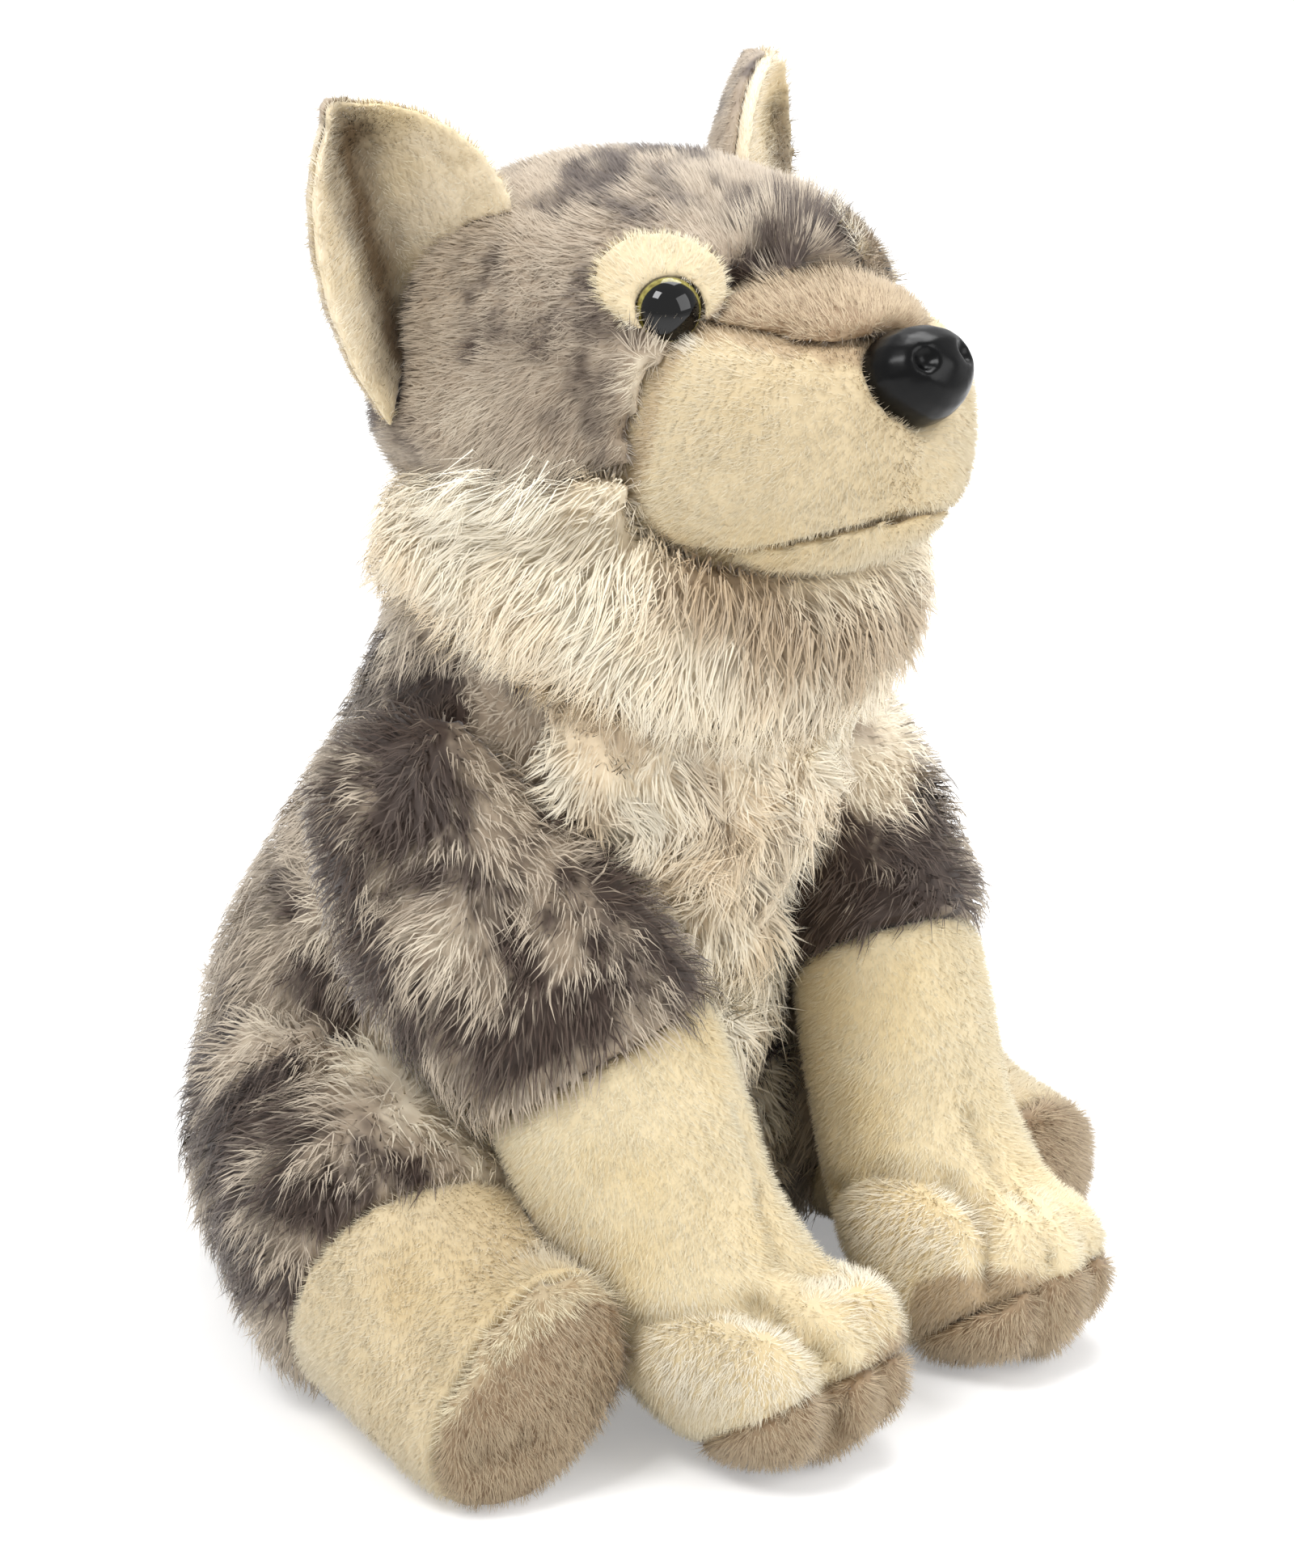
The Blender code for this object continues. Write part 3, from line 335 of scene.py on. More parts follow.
def sew(node, voxel, swell, smoothing):
    """A filled cloth panel that takes the place of the node."""
    piece = panel_copy(node, node + "_cloth")
    apply_modifier(piece, "REMESH", mode="VOXEL", voxel_size=voxel, use_smooth_shade=True)
    apply_modifier(piece, "SMOOTH", factor=0.5, iterations=smoothing)
    fill_panel(piece, swell)
    piece.data.shade_smooth()
    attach(piece, "root")
    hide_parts(node)
    return piece


# Stitched creases and folds, each a line of the photograph's pixels with its width and depth in millimetres.
# A depth below zero swells the cloth instead
CREASES = {
    "near paw, above the inner toe": (((775, 1640), (835, 1631), (887, 1624), (936, 1622)), 3.5, 3.5),
    "near paw, between the toes": (((936, 1622), (985, 1648), (1021, 1674), (1037, 1713), (1038, 1766),
                                    (1036, 1785)), 4.0, 6.0),
    "near paw, above the outer toe": (((960, 1560), (1000, 1575), (1040, 1590)), 3.0, 2.0),
    "near shin seam": (((914, 1375), (940, 1453), (946, 1505), (966, 1551)), 2.0, 2.5),
    "far paw, above the inner toe": (((1031, 1473), (1083, 1453), (1128, 1457), (1170, 1466)), 3.5, 3.5),
    "far paw, between the toes": (((1170, 1466), (1200, 1492), (1223, 1531), (1219, 1570),
                                   (1230, 1600)), 3.0, 4.5),
    "far shin seam": (((1200, 1375), (1226, 1434), (1271, 1486), (1297, 1564)), 2.2, 3.0),
    "hind foot, side": (((490, 1550), (515, 1635), (530, 1700)), 5.0, 2.0),
    "hind foot, sole": (((595, 1800), (625, 1795), (650, 1780)), 3.5, 3.0),
    "lip": (((1150, 540), (1143, 570), (1135, 600), (1100, 640)), 2.5, 1.0),
    "brow": (((905, 352), (935, 330), (965, 313)), 2.2, 3.0),
    "near paw, inner toe": (((850, 1690), (930, 1695)), 12.0, -3.5),
    "near paw, outer toe": (((1065, 1600), (1105, 1625)), 9.0, -3.0),
    "far paw, inner toe": (((1080, 1515), (1150, 1520)), 11.0, -3.0),
    "far paw, outer toe": (((1270, 1530), (1310, 1560)), 8.0, -2.0),
}
# Where the ears are pressed hollow, and how far each line of the hollow moves away from the viewer
HOLLOWS = (
    (("ear_lining_right", "ear_back_right"), ((445, 190), (460, 260), (485, 330), (505, 380)), 10.0, 8.0),
    (("ear_lining_left", "ear_back_left"), ((955, 150), (970, 200)), 8.0, 3.0),
)
# How closely a line's points follow each other, and the weakest press that is made
LINE_STEP = 0.0015
LEAST_PRESS = 0.05


def line_on(cloths, pixels):
    """Points close together along a line of the photograph, where it falls on the cloth."""
    found = seen_points(pixels, cloths)
    line = found[:1]
    for start, end in zip(found, found[1:]):
        count = max(2, int(np.linalg.norm(end - start) / LINE_STEP))
        line += [start + (end - start) * i / count for i in range(1, count + 1)]
    return np.array(line)


def distance_to(points, line):
    """How far each point is from the nearest point of the line."""
    near = np.full(len(points), np.inf)
    for place in line:
        near = np.minimum(near, np.linalg.norm(points - place, axis=1))
    return near


def normals_of(mesh):
    """The smooth normal at each of the mesh's points."""
    flat = np.empty(len(mesh.vertices) * 3)
    mesh.vertices.foreach_get("normal", flat)
    return flat.reshape(-1, 3)


def press(piece, line, width, depth, direction=None):
    """Draws the cloth in along a line, or moves it that way."""
    points = points_of(piece.data)
    strength = np.exp(-((distance_to(points, line) / width) ** 2))
    if strength.max() < LEAST_PRESS:
        return
    if direction is None:
        direction = -normals_of(piece.data)
    points += direction * (strength * depth)[:, None]
    points[:, 2] = np.maximum(points[:, 2], 0.0)
    piece.data.vertices.foreach_set("co", points.ravel())
    piece.data.update()


class Pile(NamedTuple):
    """How a panel's pile stands: metres, degrees from upright, and strands for each square centimetre."""
    length: float
    width: float
    density: float
    stand: float
    lie: float
    comb: object
    fuzz: float = 0.3
    clump: float = 0.0
    clump_size: float = 0.006
    wave: float = 0.0
    burst: float = 0.0
    straight: bool = False
    sag: float = 0.0
    wander: float = 0.45
    wander_size: float = 0.04


def triangles_of(mesh):
    """The three corners of every triangle, as places in the list of points."""
    mesh.calc_loop_triangles()
    corners = np.empty(len(mesh.loop_triangles) * 3, np.int64)
    mesh.loop_triangles.foreach_get("vertices", corners)
    return corners.reshape(-1, 3)


def scatter(piece, density, draw):
    """Chance points on the piece with their normals, that many for each square centimetre."""
    triangles = triangles_of(piece.data)
    corners, normals = points_of(piece.data)[triangles], normals_of(piece.data)[triangles]
    areas = np.linalg.norm(np.cross(corners[:, 1] - corners[:, 0], corners[:, 2] - corners[:, 0]), axis=1) / 2
    count = int(areas.sum() * 1e4 * density)
    face = draw.choice(len(areas), count, p=areas / areas.sum())
    split = np.sort(draw.random((count, 2)), axis=1)
    weights = np.stack([split[:, 0], split[:, 1] - split[:, 0], 1 - split[:, 1]], axis=1)[:, :, None]
    return (corners[face] * weights).sum(axis=1), unit((normals[face] * weights).sum(axis=1))


def across_normal(vectors, normals):
    """The vectors turned into the surface."""
    flat = vectors - normals * (vectors * normals).sum(axis=1, keepdims=True)
    return unit(flat)


def crowns(roots, normals, spacing, draw, given):
    """The way out from each root's nearest crown, and how far off that is as a share of the spacing."""
    picked = roots[draw.choice(len(roots), max(LEAST_CROWNS, len(roots) // ROOTS_FOR_A_PICK))]
    kept = list(given)
    for point in picked:
        if all(np.linalg.norm(point - other) > spacing for other in kept):
            kept.append(point)
    centres = np.array(kept)
    nearest = np.zeros(len(roots), int)
    best = np.full(len(roots), np.inf)
    for i, centre in enumerate(centres):
        far = np.linalg.norm(roots - centre, axis=1)
        closer = far < best
        nearest[closer] = i
        best[closer] = far[closer]
    return across_normal(roots - centres[nearest], normals), best / spacing


def clumped(points, size, amount, seed):
    """How far each point is drawn towards the middle of its tuft."""
    warped = points + ripples(points, size * 3, seed) * size * 0.6
    keys = np.floor(warped / size).astype(np.int64)
    _, index = np.unique(keys, axis=0, return_inverse=True)
    index = index.reshape(-1)
    counts = np.bincount(index)
    middles = np.stack([np.bincount(index, points[:, i]) / counts for i in range(3)], axis=1)
    return (middles[index] - points) * amount


def clear_lengths(roots, ways, lengths, obstacles, start):
    """How much of each strand stands free of the neighbouring cloth, from 0 to 1."""
    free = np.ones(len(roots))
    begins = roots + ways * start
    for i in range(len(roots)):
        hit = obstacles.ray_cast(Vector(begins[i]), Vector(ways[i]), float(lengths[i]))
        if hit[0] is not None:
            free[i] = hit[3] / lengths[i]
    return free


def mesh_of(name, points, faces, maps, facts, normals):
    """A mesh object of triangles, with the map and the facts of its strands."""
    mesh = bpy.data.meshes.new(name)
    mesh.vertices.add(len(points))
    mesh.vertices.foreach_set("co", points.ravel())
    mesh.loops.add(faces.size)
    mesh.loops.foreach_set("vertex_index", faces.ravel())
    mesh.polygons.add(len(faces))
    mesh.polygons.foreach_set("loop_start", np.arange(0, faces.size, 3))
    mesh.update(calc_edges=True)
    layer = mesh.uv_layers.new(name=BAKE_MAP)
    layer.uv.foreach_set("vector", maps[faces.ravel()].ravel())
    colours = mesh.color_attributes.new(STRAND_FACTS, "FLOAT_COLOR", "POINT")
    colours.data.foreach_set("color", facts.ravel())
    mesh.shade_smooth()
    mesh.normals_split_custom_set_from_vertices(normals)
    piece = bpy.data.objects.new(name, mesh)
    bpy.context.scene.collection.objects.link(piece)
    return piece


# A strand's outline in its own cell of the bake map: root left and right, bend left and right, tip
BLADE_MAP = np.array(((0.15, 0.05), (0.85, 0.05), (0.2, 0.5), (0.8, 0.5), (0.5, 0.95)))
BLADE_ALONG = np.array((0.0, 0.0, 0.5, 0.5, 1.0))
BLADE_FACES = np.array(((0, 1, 3), (0, 3, 2), (2, 3, 4)))
THORN_MAP = BLADE_MAP[[0, 1, 4]]
THORN_ALONG = BLADE_ALONG[[0, 1, 4]]
THORN_FACES = np.array(((0, 1, 2),))
# How far a blade turns about its length, and how much of the cloth's normal it is lit by
TWIST = 0.6
SOFT_NORMAL = 0.9
# How far apart crowns stand, and how they are picked; the pile bursts from them out to that many spacings
CROWN_SPACING = 0.036
CROWN_REACH = 1.3
LEAST_CROWNS = 4
ROOTS_FOR_A_PICK = 60
# How much strands differ: shares of length and width, and degrees of lean
LENGTH_SPREAD = (0.65, 1.1)
WIDTH_SPREAD = (0.6, 1.2)
LEAN_SPREAD = 9
LENGTH_RIPPLE = 0.15
LENGTH_RIPPLE_SIZE = 0.02
# Below this height no pile grows downwards
FLOOR_CLEAR = 0.003
# How deep roots sit in the cloth, the least free share of a strand, and how much of that it uses
ROOT_START = 0.0006
LEAST_FREE = 0.3
FREE_USED = 0.95


def combed(pile, roots, normals, draw, seed, given_crowns):
    """Which way the pile lies at each root, and how far off its crown is."""
    ways = across_normal(pile.comb(roots, normals), normals)
    crown = np.ones(len(roots))
    if pile.burst:
        outward, crown = crowns(roots, normals, CROWN_SPACING, draw, given_crowns)
        pull = pile.burst * np.clip(CROWN_REACH - crown, 0.0, 1.0)[:, None]
        ways = across_normal(ways * (1 - pull) + outward * pull, normals)
    wandering = ripples(roots, pile.wander_size, seed) * pile.wander
    ways = ways + wandering + draw.normal(size=roots.shape) * pile.fuzz
    return across_normal(ways, normals), crown


def leaning(angle, normals, ways, draw):
    """Directions at about that angle from upright, towards the way that the pile lies."""
    angles = np.radians(angle + draw.normal(size=len(normals)) * LEAN_SPREAD)[:, None]
    return unit(np.cos(angles) * normals + np.sin(angles) * ways)


def bent(pile, roots, first, second, lengths, seed):
    """The middle and the tip of each strand, waved and drawn together in tufts."""
    bends = roots + first * lengths * 0.5
    tips = bends + second * lengths * 0.5
    tips[:, 2] -= pile.sag * lengths[:, 0]
    if pile.wave:
        wave_size = pile.clump_size * 2.5
        tips += ripples(roots, wave_size, seed + 20) * lengths * pile.wave
        bends += ripples(roots, wave_size, seed + 30) * lengths * pile.wave * 0.5
    if pile.clump:
        tips += clumped(tips, pile.clump_size, pile.clump, seed + 40)
        bends += clumped(bends, pile.clump_size, pile.clump * 0.5, seed + 40)
    return bends, tips


def blades(name, pile, roots, bends, tips, normals, chord, crown, dye_and_shade, draw):
    """A mesh with one fine blade for each strand."""
    count = len(roots)
    side = unit(np.cross(chord, normals))
    turn = draw.uniform(-TWIST, TWIST, count)[:, None]
    side = side * np.cos(turn) + np.cross(chord, side) * np.sin(turn)
    half = side * (pile.width * draw.uniform(*WIDTH_SPREAD, count) / 2)[:, None]
    if pile.straight:
        stack = [roots - half, roots + half, tips]
        along, outline, pattern = THORN_ALONG, THORN_MAP, THORN_FACES
    else:
        stack = [roots - half, roots + half, bends - half * 0.8, bends + half * 0.8, tips]
        along, outline, pattern = BLADE_ALONG, BLADE_MAP, BLADE_FACES
    corners = len(stack)
    points = np.stack(stack, axis=1).reshape(-1, 3)
    points[:, 2] = np.maximum(points[:, 2], FLOOR_GAP)
    faces = (pattern[None] + (np.arange(count) * corners)[:, None, None]).reshape(-1, 3)
    cells = math.ceil(math.sqrt(count))
    cell = np.stack([np.arange(count) % cells, np.arange(count) // cells], axis=1)[:, None, :]
    maps = ((cell + outline[None]) / cells).reshape(-1, 2)
    facts = np.empty((count, corners, 4))
    facts[:, :, 0] = along[None]
    facts[:, :, 1] = draw.random(count)[:, None]
    facts[:, :, 2] = dye_and_shade(roots)[:, None]
    facts[:, :, 3] = np.clip(crown, 0, 1)[:, None]
    blade = unit(np.cross(2 * half, tips - roots))
    facing = unit(normals * SOFT_NORMAL + blade * (1 - SOFT_NORMAL))
    return mesh_of(name, points, faces, maps, facts.reshape(-1, 4), np.repeat(facing, corners, axis=0))


def brush(name, cloth, pile, obstacles, seed, dye_and_shade, gain, given_crowns=()):
    """Grows the pile of one panel as a mesh of fine bent blades."""
    draw = np.random.default_rng(seed)
    roots, normals = scatter(cloth, pile.density, draw)
    clear = (roots[:, 2] > FLOOR_CLEAR) | (normals[:, 2] > -0.5)
    roots, normals = roots[clear], normals[clear]
    ways, crown = combed(pile, roots, normals, draw, seed, given_crowns)
    lengths = pile.length * draw.uniform(*LENGTH_SPREAD, len(roots))
    lengths = lengths * (1 + LENGTH_RIPPLE * ripple(roots, LENGTH_RIPPLE_SIZE, seed + 9))
    gained = gain(roots)
    lengths *= 1 + gained
    crown = np.minimum(crown, 1 - gained)
    first = leaning(pile.stand, normals, ways, draw)
    second = leaning(pile.lie, normals, ways, draw)
    chord = unit(first + second)
    free = clear_lengths(roots, chord, lengths, obstacles, ROOT_START)
    lengths = lengths * np.minimum(1.0, free * FREE_USED)
    kept = free > LEAST_FREE
    roots, normals, first, second, chord, crown, lengths = (
        x[kept] for x in (roots, normals, first, second, chord, crown, lengths))
    bends, tips = bent(pile, roots, first, second, lengths[:, None], seed)
    roots = roots - normals * ROOT_START
    piece = blades(name, pile, roots, bends, tips, normals, chord, crown, dye_and_shade, draw)
    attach(piece, "root")
    return piece


def comb_down(roots, normals):
    """The pile hangs down, a little towards the back."""
    return np.tile((0.0, 0.25, -1.0), (len(roots), 1))


def comb_from(point):
    """The pile lies away from that point."""
    def comb(roots, normals):
        return roots - np.array(point)
    return comb


def comb_along(direction):
    """The pile lies in that direction."""
    def comb(roots, normals):
        return np.tile(direction, (len(roots), 1))
    return comb


def middle(node):
    """The middle of a node's box."""
    low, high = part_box(node)
    return (np.array(low) + np.array(high)) / 2


# Dark dyeing and painted shade, as strokes on the photograph: pixels, radius in millimetres and strength
DYE_AND_SHADE_STROKES = (
    # The near shoulder and its foreleg
    # Painted shade in the valley between the shoulder and the torso
    (((520, 860), (505, 930), (520, 1000)), 11, 1.0),
    (((470, 850), (450, 930)), 8, 0.5),
    # Painted shade between the near foreleg and the back
    (((425, 1060), (448, 1130), (470, 1210)), 6, 0.9),
    (((500, 1090), (560, 1060), (620, 1090)), 6, 0.6),
    (((600, 1130), (640, 1180), (700, 1200)), 4, 0.8),
    (((740, 1080), (800, 1150), (840, 1210)), 6, 0.9),
    (((620, 1290), (660, 1270), (720, 1240)), 7, 0.9),
    (((560, 1230), (580, 1290)), 5, 0.6),
    (((680, 1130),), 3, 0.9), (((730, 1170),), 3, 0.9), (((640, 1230),), 3, 0.8), (((590, 1180),), 3, 0.8),
    (((760, 1130),), 2.5, 0.9), (((700, 1080),), 3, 0.7), (((620, 1020), (650, 1050)), 3, 0.6),
    # The flank and the thigh
    (((330, 1350), (270, 1400), (290, 1460)), 9, 1.0),
    (((330, 1380), (380, 1400)), 5, 0.6), (((340, 1470), (420, 1490)), 6, 0.8),
    (((460, 1400), (520, 1440), (580, 1440)), 6, 0.9),
    (((280, 1520), (330, 1580), (380, 1620)), 8, 0.7),
    (((250, 1350), (245, 1450)), 6, 0.6),
    # Dark colour and painted shade in the gap behind the near foreleg
    (((440, 1250), (400, 1200)), 8, 0.8),
    (((350, 1090), (380, 1130)), 6, 0.5), (((300, 1200), (290, 1240)), 4, 0.5),
    # The far foreleg, and the shade between the forelegs
    (((1120, 1000), (1150, 1070), (1080, 1120), (1010, 1160)), 14, 1.0),
    (((900, 1250), (930, 1330)), 12, 0.9),
    # The brow, the crown and the cheek
    (((985, 275), (1030, 290), (1060, 310)), 5, 1.0),
    # Painted shadow in the crease of the brow
    (((905, 345), (940, 325), (975, 318)), 3.5, 1.0),
    (((1070, 330), (1090, 350)), 3, 0.7),
    (((690, 255), (740, 245), (800, 270)), 5, 0.45), (((850, 250), (910, 260)), 6, 0.25),
    (((590, 330), (600, 400), (640, 430)), 10, 0.35),
    (((690, 430), (740, 480), (760, 540)), 8, 0.35),
    (((500, 480), (520, 560)), 5, 0.5), (((620, 220), (660, 200)), 5, 0.35),
    (((760, 400), (700, 420)), 4, 0.4),
)
# Pale frosting, where 1 is undyed cream
PALE_STROKES = (
    # Behind the near elbow, and where the pile parts
    (((480, 1310), (530, 1360), (590, 1430)), 11, 1.0), (((500, 1280), (560, 1350), (620, 1440)), 10, 1.0),
    (((310, 1296),), 9, 0.55), (((230, 1240), (260, 1300)), 8, 0.5), (((520, 1370),), 12, 0.8),
    (((557, 1162),), 8, 0.5), (((414, 1130),), 6, 0.5), (((709, 1189),), 5, 0.5),
    # The cheek, the neck and the jaw
    (((620, 480), (560, 520)), 8, 0.35), (((795, 450), (790, 540)), 3.5, 0.8),
    (((640, 1060), (600, 980)), 6, 0.3),
    (((480, 610), (560, 592), (650, 588)), 4, 0.5), (((470, 620), (470, 700), (500, 780)), 4, 0.9),
    # The rim of the near ear, and the front of the far shoulder
    (((408, 112), (396, 180), (396, 260), (420, 380), (470, 490)), 4.5, 1.0),
    (((420, 112), (470, 125)), 3.5, 1.0),
    (((1092, 868), (1104, 920), (1090, 980), (1050, 940)), 7, 1.0),
)
# Where the tan pile and the cream pile meet on the photograph: the bridge and the soles
BRIDGE_SEAM = ((858, 415), (878, 421), (968, 440), (1057, 453), (1090, 460))
RIGHT_SOLE_SEAM = ((862, 1806), (904, 1775), (965, 1741), (1042, 1718), (1095, 1650), (1160, 1622))
LEFT_SOLE_SEAM = ((1130, 1590), (1149, 1580), (1225, 1572), (1302, 1580), (1375, 1570))
HIND_SOLE_SEAM = ((515, 1860), (529, 1846), (552, 1769), (582, 1723), (636, 1670), (697, 1624), (747, 1601),
                  (780, 1590))
# How much tan tints the cream of the muzzle, the chin and the hind legs, and how much grey the eye patches
MUZZLE_TINT = 0.3
PATCH_TINT = 0.22
# Painted shade, tinted tan, in the seam where the muzzle bulges over the cheek
CHEEK_SEAM_SHADE_STROKES = ((((835, 440), (815, 485), (796, 555), (783, 612)), 2.5, 0.5),)
# Painted shade in the fold and hollow of the ears, over their darker tan middle
EAR_SHADE_STROKES = (
    (((432, 160), (437, 230), (455, 300), (480, 380), (492, 440)), 6.5, 1.0),
    (((465, 190), (490, 290), (510, 360)), 10, 0.3),
    (((962, 140), (972, 200)), 3.5, 0.8),
)
# Grey pile that laps over the eye patches
LAP_STROKES = (
    (((1030, 250), (1065, 280), (1088, 320), (1098, 350)), 7, 1.0),
    (((870, 415), (900, 395)), 3.5, 1.0),
)
# Painted shadow under the chin and in the ruff and bib, with browner roots, in the long cream pile
SHADE_STROKES = (
    (((870, 700), (950, 770), (1040, 780), (1110, 740)), 8, 0.85), (((1000, 850), (1090, 830)), 9, 0.35),
    (((640, 850), (750, 890), (870, 900), (980, 890)), 4, 0.6), (((680, 960), (740, 1010)), 4, 0.5),
    (((860, 950), (900, 1040)), 5, 0.5), (((960, 1000), (930, 1120)), 4, 0.4),
)
# Longer pile: the brow, the tuft below the near eye, the paws and the instep
LONGER_STROKES = (
    (((940, 315), (1000, 262), (1040, 275), (1070, 310), (1085, 345)), 6, 1.3),
    (((790, 420), (850, 425), (870, 400)), 3.5, 1.0),
    (((490, 588), (610, 572), (690, 582)), 6, 1.2), (((480, 640), (490, 700), (530, 770)), 6, 0.7),
    (((850, 1680), (950, 1680)), 11, 0.7), (((1050, 1600), (1110, 1620)), 9, 0.6),
    (((1090, 1510), (1180, 1510)), 11, 0.7), (((640, 1540), (720, 1570)), 8, 0.5),
)
# Shorter pile below the ruff's edge and at the jaw
SHORTER_STROKES = (
    (((560, 840), (640, 870), (750, 905), (870, 915), (1000, 905), (1080, 870)), 7, 0.65),
    (((690, 600), (760, 620)), 5, 0.4),
)
# Crowns, from which the pile parts all round
CROWN_PIXELS = ((557, 1162), (311, 1296), (709, 1189), (414, 1130), (480, 1000), (330, 1450))
# The tuft of the cheek that is brushed up over the near eye
TUFT_STROKES = ((((800, 418), (850, 420), (872, 405)), 3.5, 1.0),)
# The size of the large and small waves of a stroke's edge
FRAY_SIZES = (0.012, 0.004)
# The dye at which the coat is greige
DYED = 0.4


def seen_points(pixels, cloths):
    """Where the photograph's pixels fall on the cloth."""
    eye = view_eye()
    found = []
    for pixel in pixels:
        place = cloths.ray_cast(eye, pixel_ray(pixel))[0]
        if place is not None:
            found.append(np.array(place))
    return found


def no_dye(roots):
    """A panel of one tone."""
    return np.zeros(len(roots))


def painter(strokes, cloths, seed=11, fray=0.35, hardness=1.0):
    """The strength of the strokes at each root, half as strong at their radius, with frayed edges."""
    lines = [(line_on(cloths, pixels), radius / 1000, strength) for pixels, radius, strength in strokes]

    def paint(roots):
        wide, fine = (ripple(roots, size, seed + 3 * i) * fray for i, size in enumerate(FRAY_SIZES))
        edge = 1 + wide + fine * 0.6
        total = np.zeros(len(roots))
        low, high = roots.min(axis=0), roots.max(axis=0)
        for line, radius, strength in lines:
            if not len(line):
                continue
            least, most = line.min(axis=0) - 2 * radius, line.max(axis=0) + 2 * radius
            if (least > high).any() or (most < low).any():
                continue
            near = 0.5 + (edge - distance_to(roots, line) / radius) * hardness
            total = np.maximum(total, strength * np.clip(near, 0, 1))
        return total
    return paint


def coat_dye_and_shade(cloths, hardness=1.0):
    """The coat's colouring: cream at 0, greige at DYED and dark brown at 1; some of the dark strokes are
    painted shade.
    """
    dark, pale = painter(DYE_AND_SHADE_STROKES, cloths, hardness=hardness), painter(PALE_STROKES, cloths, 17, 0.25)

    def dye_and_shade(roots):
        blotches, flecks = (ripple(roots, size, seed) * share for size, seed, share in CHANCE_DYE)
        chance = np.clip(blotches - 0.1 + flecks, 0, 1) * 0.7
        strength = np.maximum(chance, dark(roots))
        return (DYED + (1 - DYED) * strength) * (1 - pale(roots))
    return dye_and_shade


# The dark dye where no stroke falls: the size, seed and share of its blotches and of its flecks
CHANCE_DYE = ((0.045, 16, 0.8), (0.011, 19, 0.5))


def coat_finish(name, light, dark, root, frost, cream, roughness=0.6):
    """Dyed pile: darker at the root, frosted at the tip, with dark blotches, painted shade where the strokes
    lay it, and paler crowns.
    """
    finish = Finish(name, Roughness=roughness, Sheen_Weight=0.25, Sheen_Roughness=0.5)
    along, chance, dye_and_shade, crown = finish.strand()
    # The dark blotches, some of them painted shade from the strokes
    blotch_and_shade = (dye_and_shade + (finish.noise(BLOTCH_GRAIN) - 0.5) * 0.5).between(DYED + 0.05, 0.8)
    ground = finish.mix(blotch_and_shade, shade(light), shade(dark))
    locks = finish.noise(LOCK_GRAIN, 1.0).between(0.4, 0.7)
    paled = finish.mix((1 - crown) * 0.4 * (1 - blotch_and_shade), ground, shade(frost))
    creamy = finish.mix(dye_and_shade.between(DYED, 0.0), paled, shade(cream))
    shadow = (1 - along.between(-0.8, 0.5)) * 0.8 + locks * 0.35 * (1 - blotch_and_shade)
    deep = finish.mix(shadow, creamy, shade(root), "MULTIPLY")
    tips = along * chance.between(0.4, 1.0) * (0.5 - blotch_and_shade * 0.35)
    finish.paint("Base Color", finish.mix(tips, deep, shade(frost)))
    return finish.material


def plain_pile_finish(name, tone, warm, root, frost, other, roughness=0.65, fleck=0.0):
    """Undyed pile: one tone, warmer in patches, with darker roots and pale strands. Its share of second tone
    and painted shade leads to other.
    """
    finish = Finish(name, Roughness=roughness, Sheen_Weight=0.3, Sheen_Roughness=0.4)
    along, chance, dye_and_shade, crown = finish.strand()
    patches = finish.mix(finish.noise(WARM_PATCH).between(0.4, 0.75), shade(tone), shade(warm))
    paled = finish.mix((1 - crown) * 0.9, patches, shade(frost))
    dyed_and_shaded = finish.mix(dye_and_shade, paled, shade(other))
    mottle = finish.noise(FLECK_GRAIN, 1.0).between(0.5, 0.75)
    shadow = (1 - along.between(-0.7, 0.5)) + mottle * fleck
    deep = finish.mix(shadow, dyed_and_shaded, shade(root), "MULTIPLY")
    tips = along * chance.between(0.5, 1.0) * 0.5 * (1 - dye_and_shade * 0.6)
    finish.paint("Base Color", finish.mix(tips, deep, shade(frost)))
    return finish.material


# The sizes of the patterns in the pile's colour
BLOTCH_GRAIN = 0.006
LOCK_GRAIN = 0.0045
WARM_PATCH = 0.03
FLECK_GRAIN = 0.0025


def both(*names):
    """The left and the right node of each name."""
    return tuple(name + side for name in names for side in ("_left", "_right"))


LONG_GREY = ("torso", *both("upper_foreleg", "thigh"), "tail")
HEAD_GREY = ("head", *both("ear_back"))
LONG_CREAM = ("ruff", "chest_bib", "belly_panel")
FORELEGS = both("lower_foreleg")
REST_VELVET = ("chin", *both("hind_leg"))
EAR_LININGS = both("ear_lining")
EYE_PATCHES = both("eye_patch")
SHORT_CREAM = ("muzzle", *FORELEGS, *REST_VELVET, *EAR_LININGS, *EYE_PATCHES)
PLAIN_TAN = ("muzzle_bridge", *both("forepaw_pad"), "hindpaw_pad_left")
SHORT_TAN = (*PLAIN_TAN, "hindpaw_pad_right")
ALL_PANELS = LONG_GREY + HEAD_GREY + LONG_CREAM + SHORT_CREAM + SHORT_TAN
THIN_PANELS = EAR_LININGS + EYE_PATCHES + both("ear_back")
FINE_PANELS = ("muzzle", *FORELEGS, *REST_VELVET, *SHORT_TAN)
# The voxel size and the greatest swelling of thin, fine and other panels, and how often they are smoothed
THIN_SEWING = (0.0011, 0.0001)
FINE_SEWING = (0.0020, 0.0008)
BODY_SEWING = (0.0035, 0.0010)
FORELEG_SMOOTHING = 30
SMOOTHING = 3
# The cloth is coloured as its strands are this far along; below zero it is darker than their roots, painted
# shade at the foot of the pile
CLOTH_ALONG = -0.3
LONG_CREAM_ALONG = 0.2


def node_slot(node):
    """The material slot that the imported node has."""
    return frame["nodes"][node].data.materials[0].name


def cloth_of(node):
    """The sewn panel of a node."""
    return bpy.data.objects[node + "_cloth"]


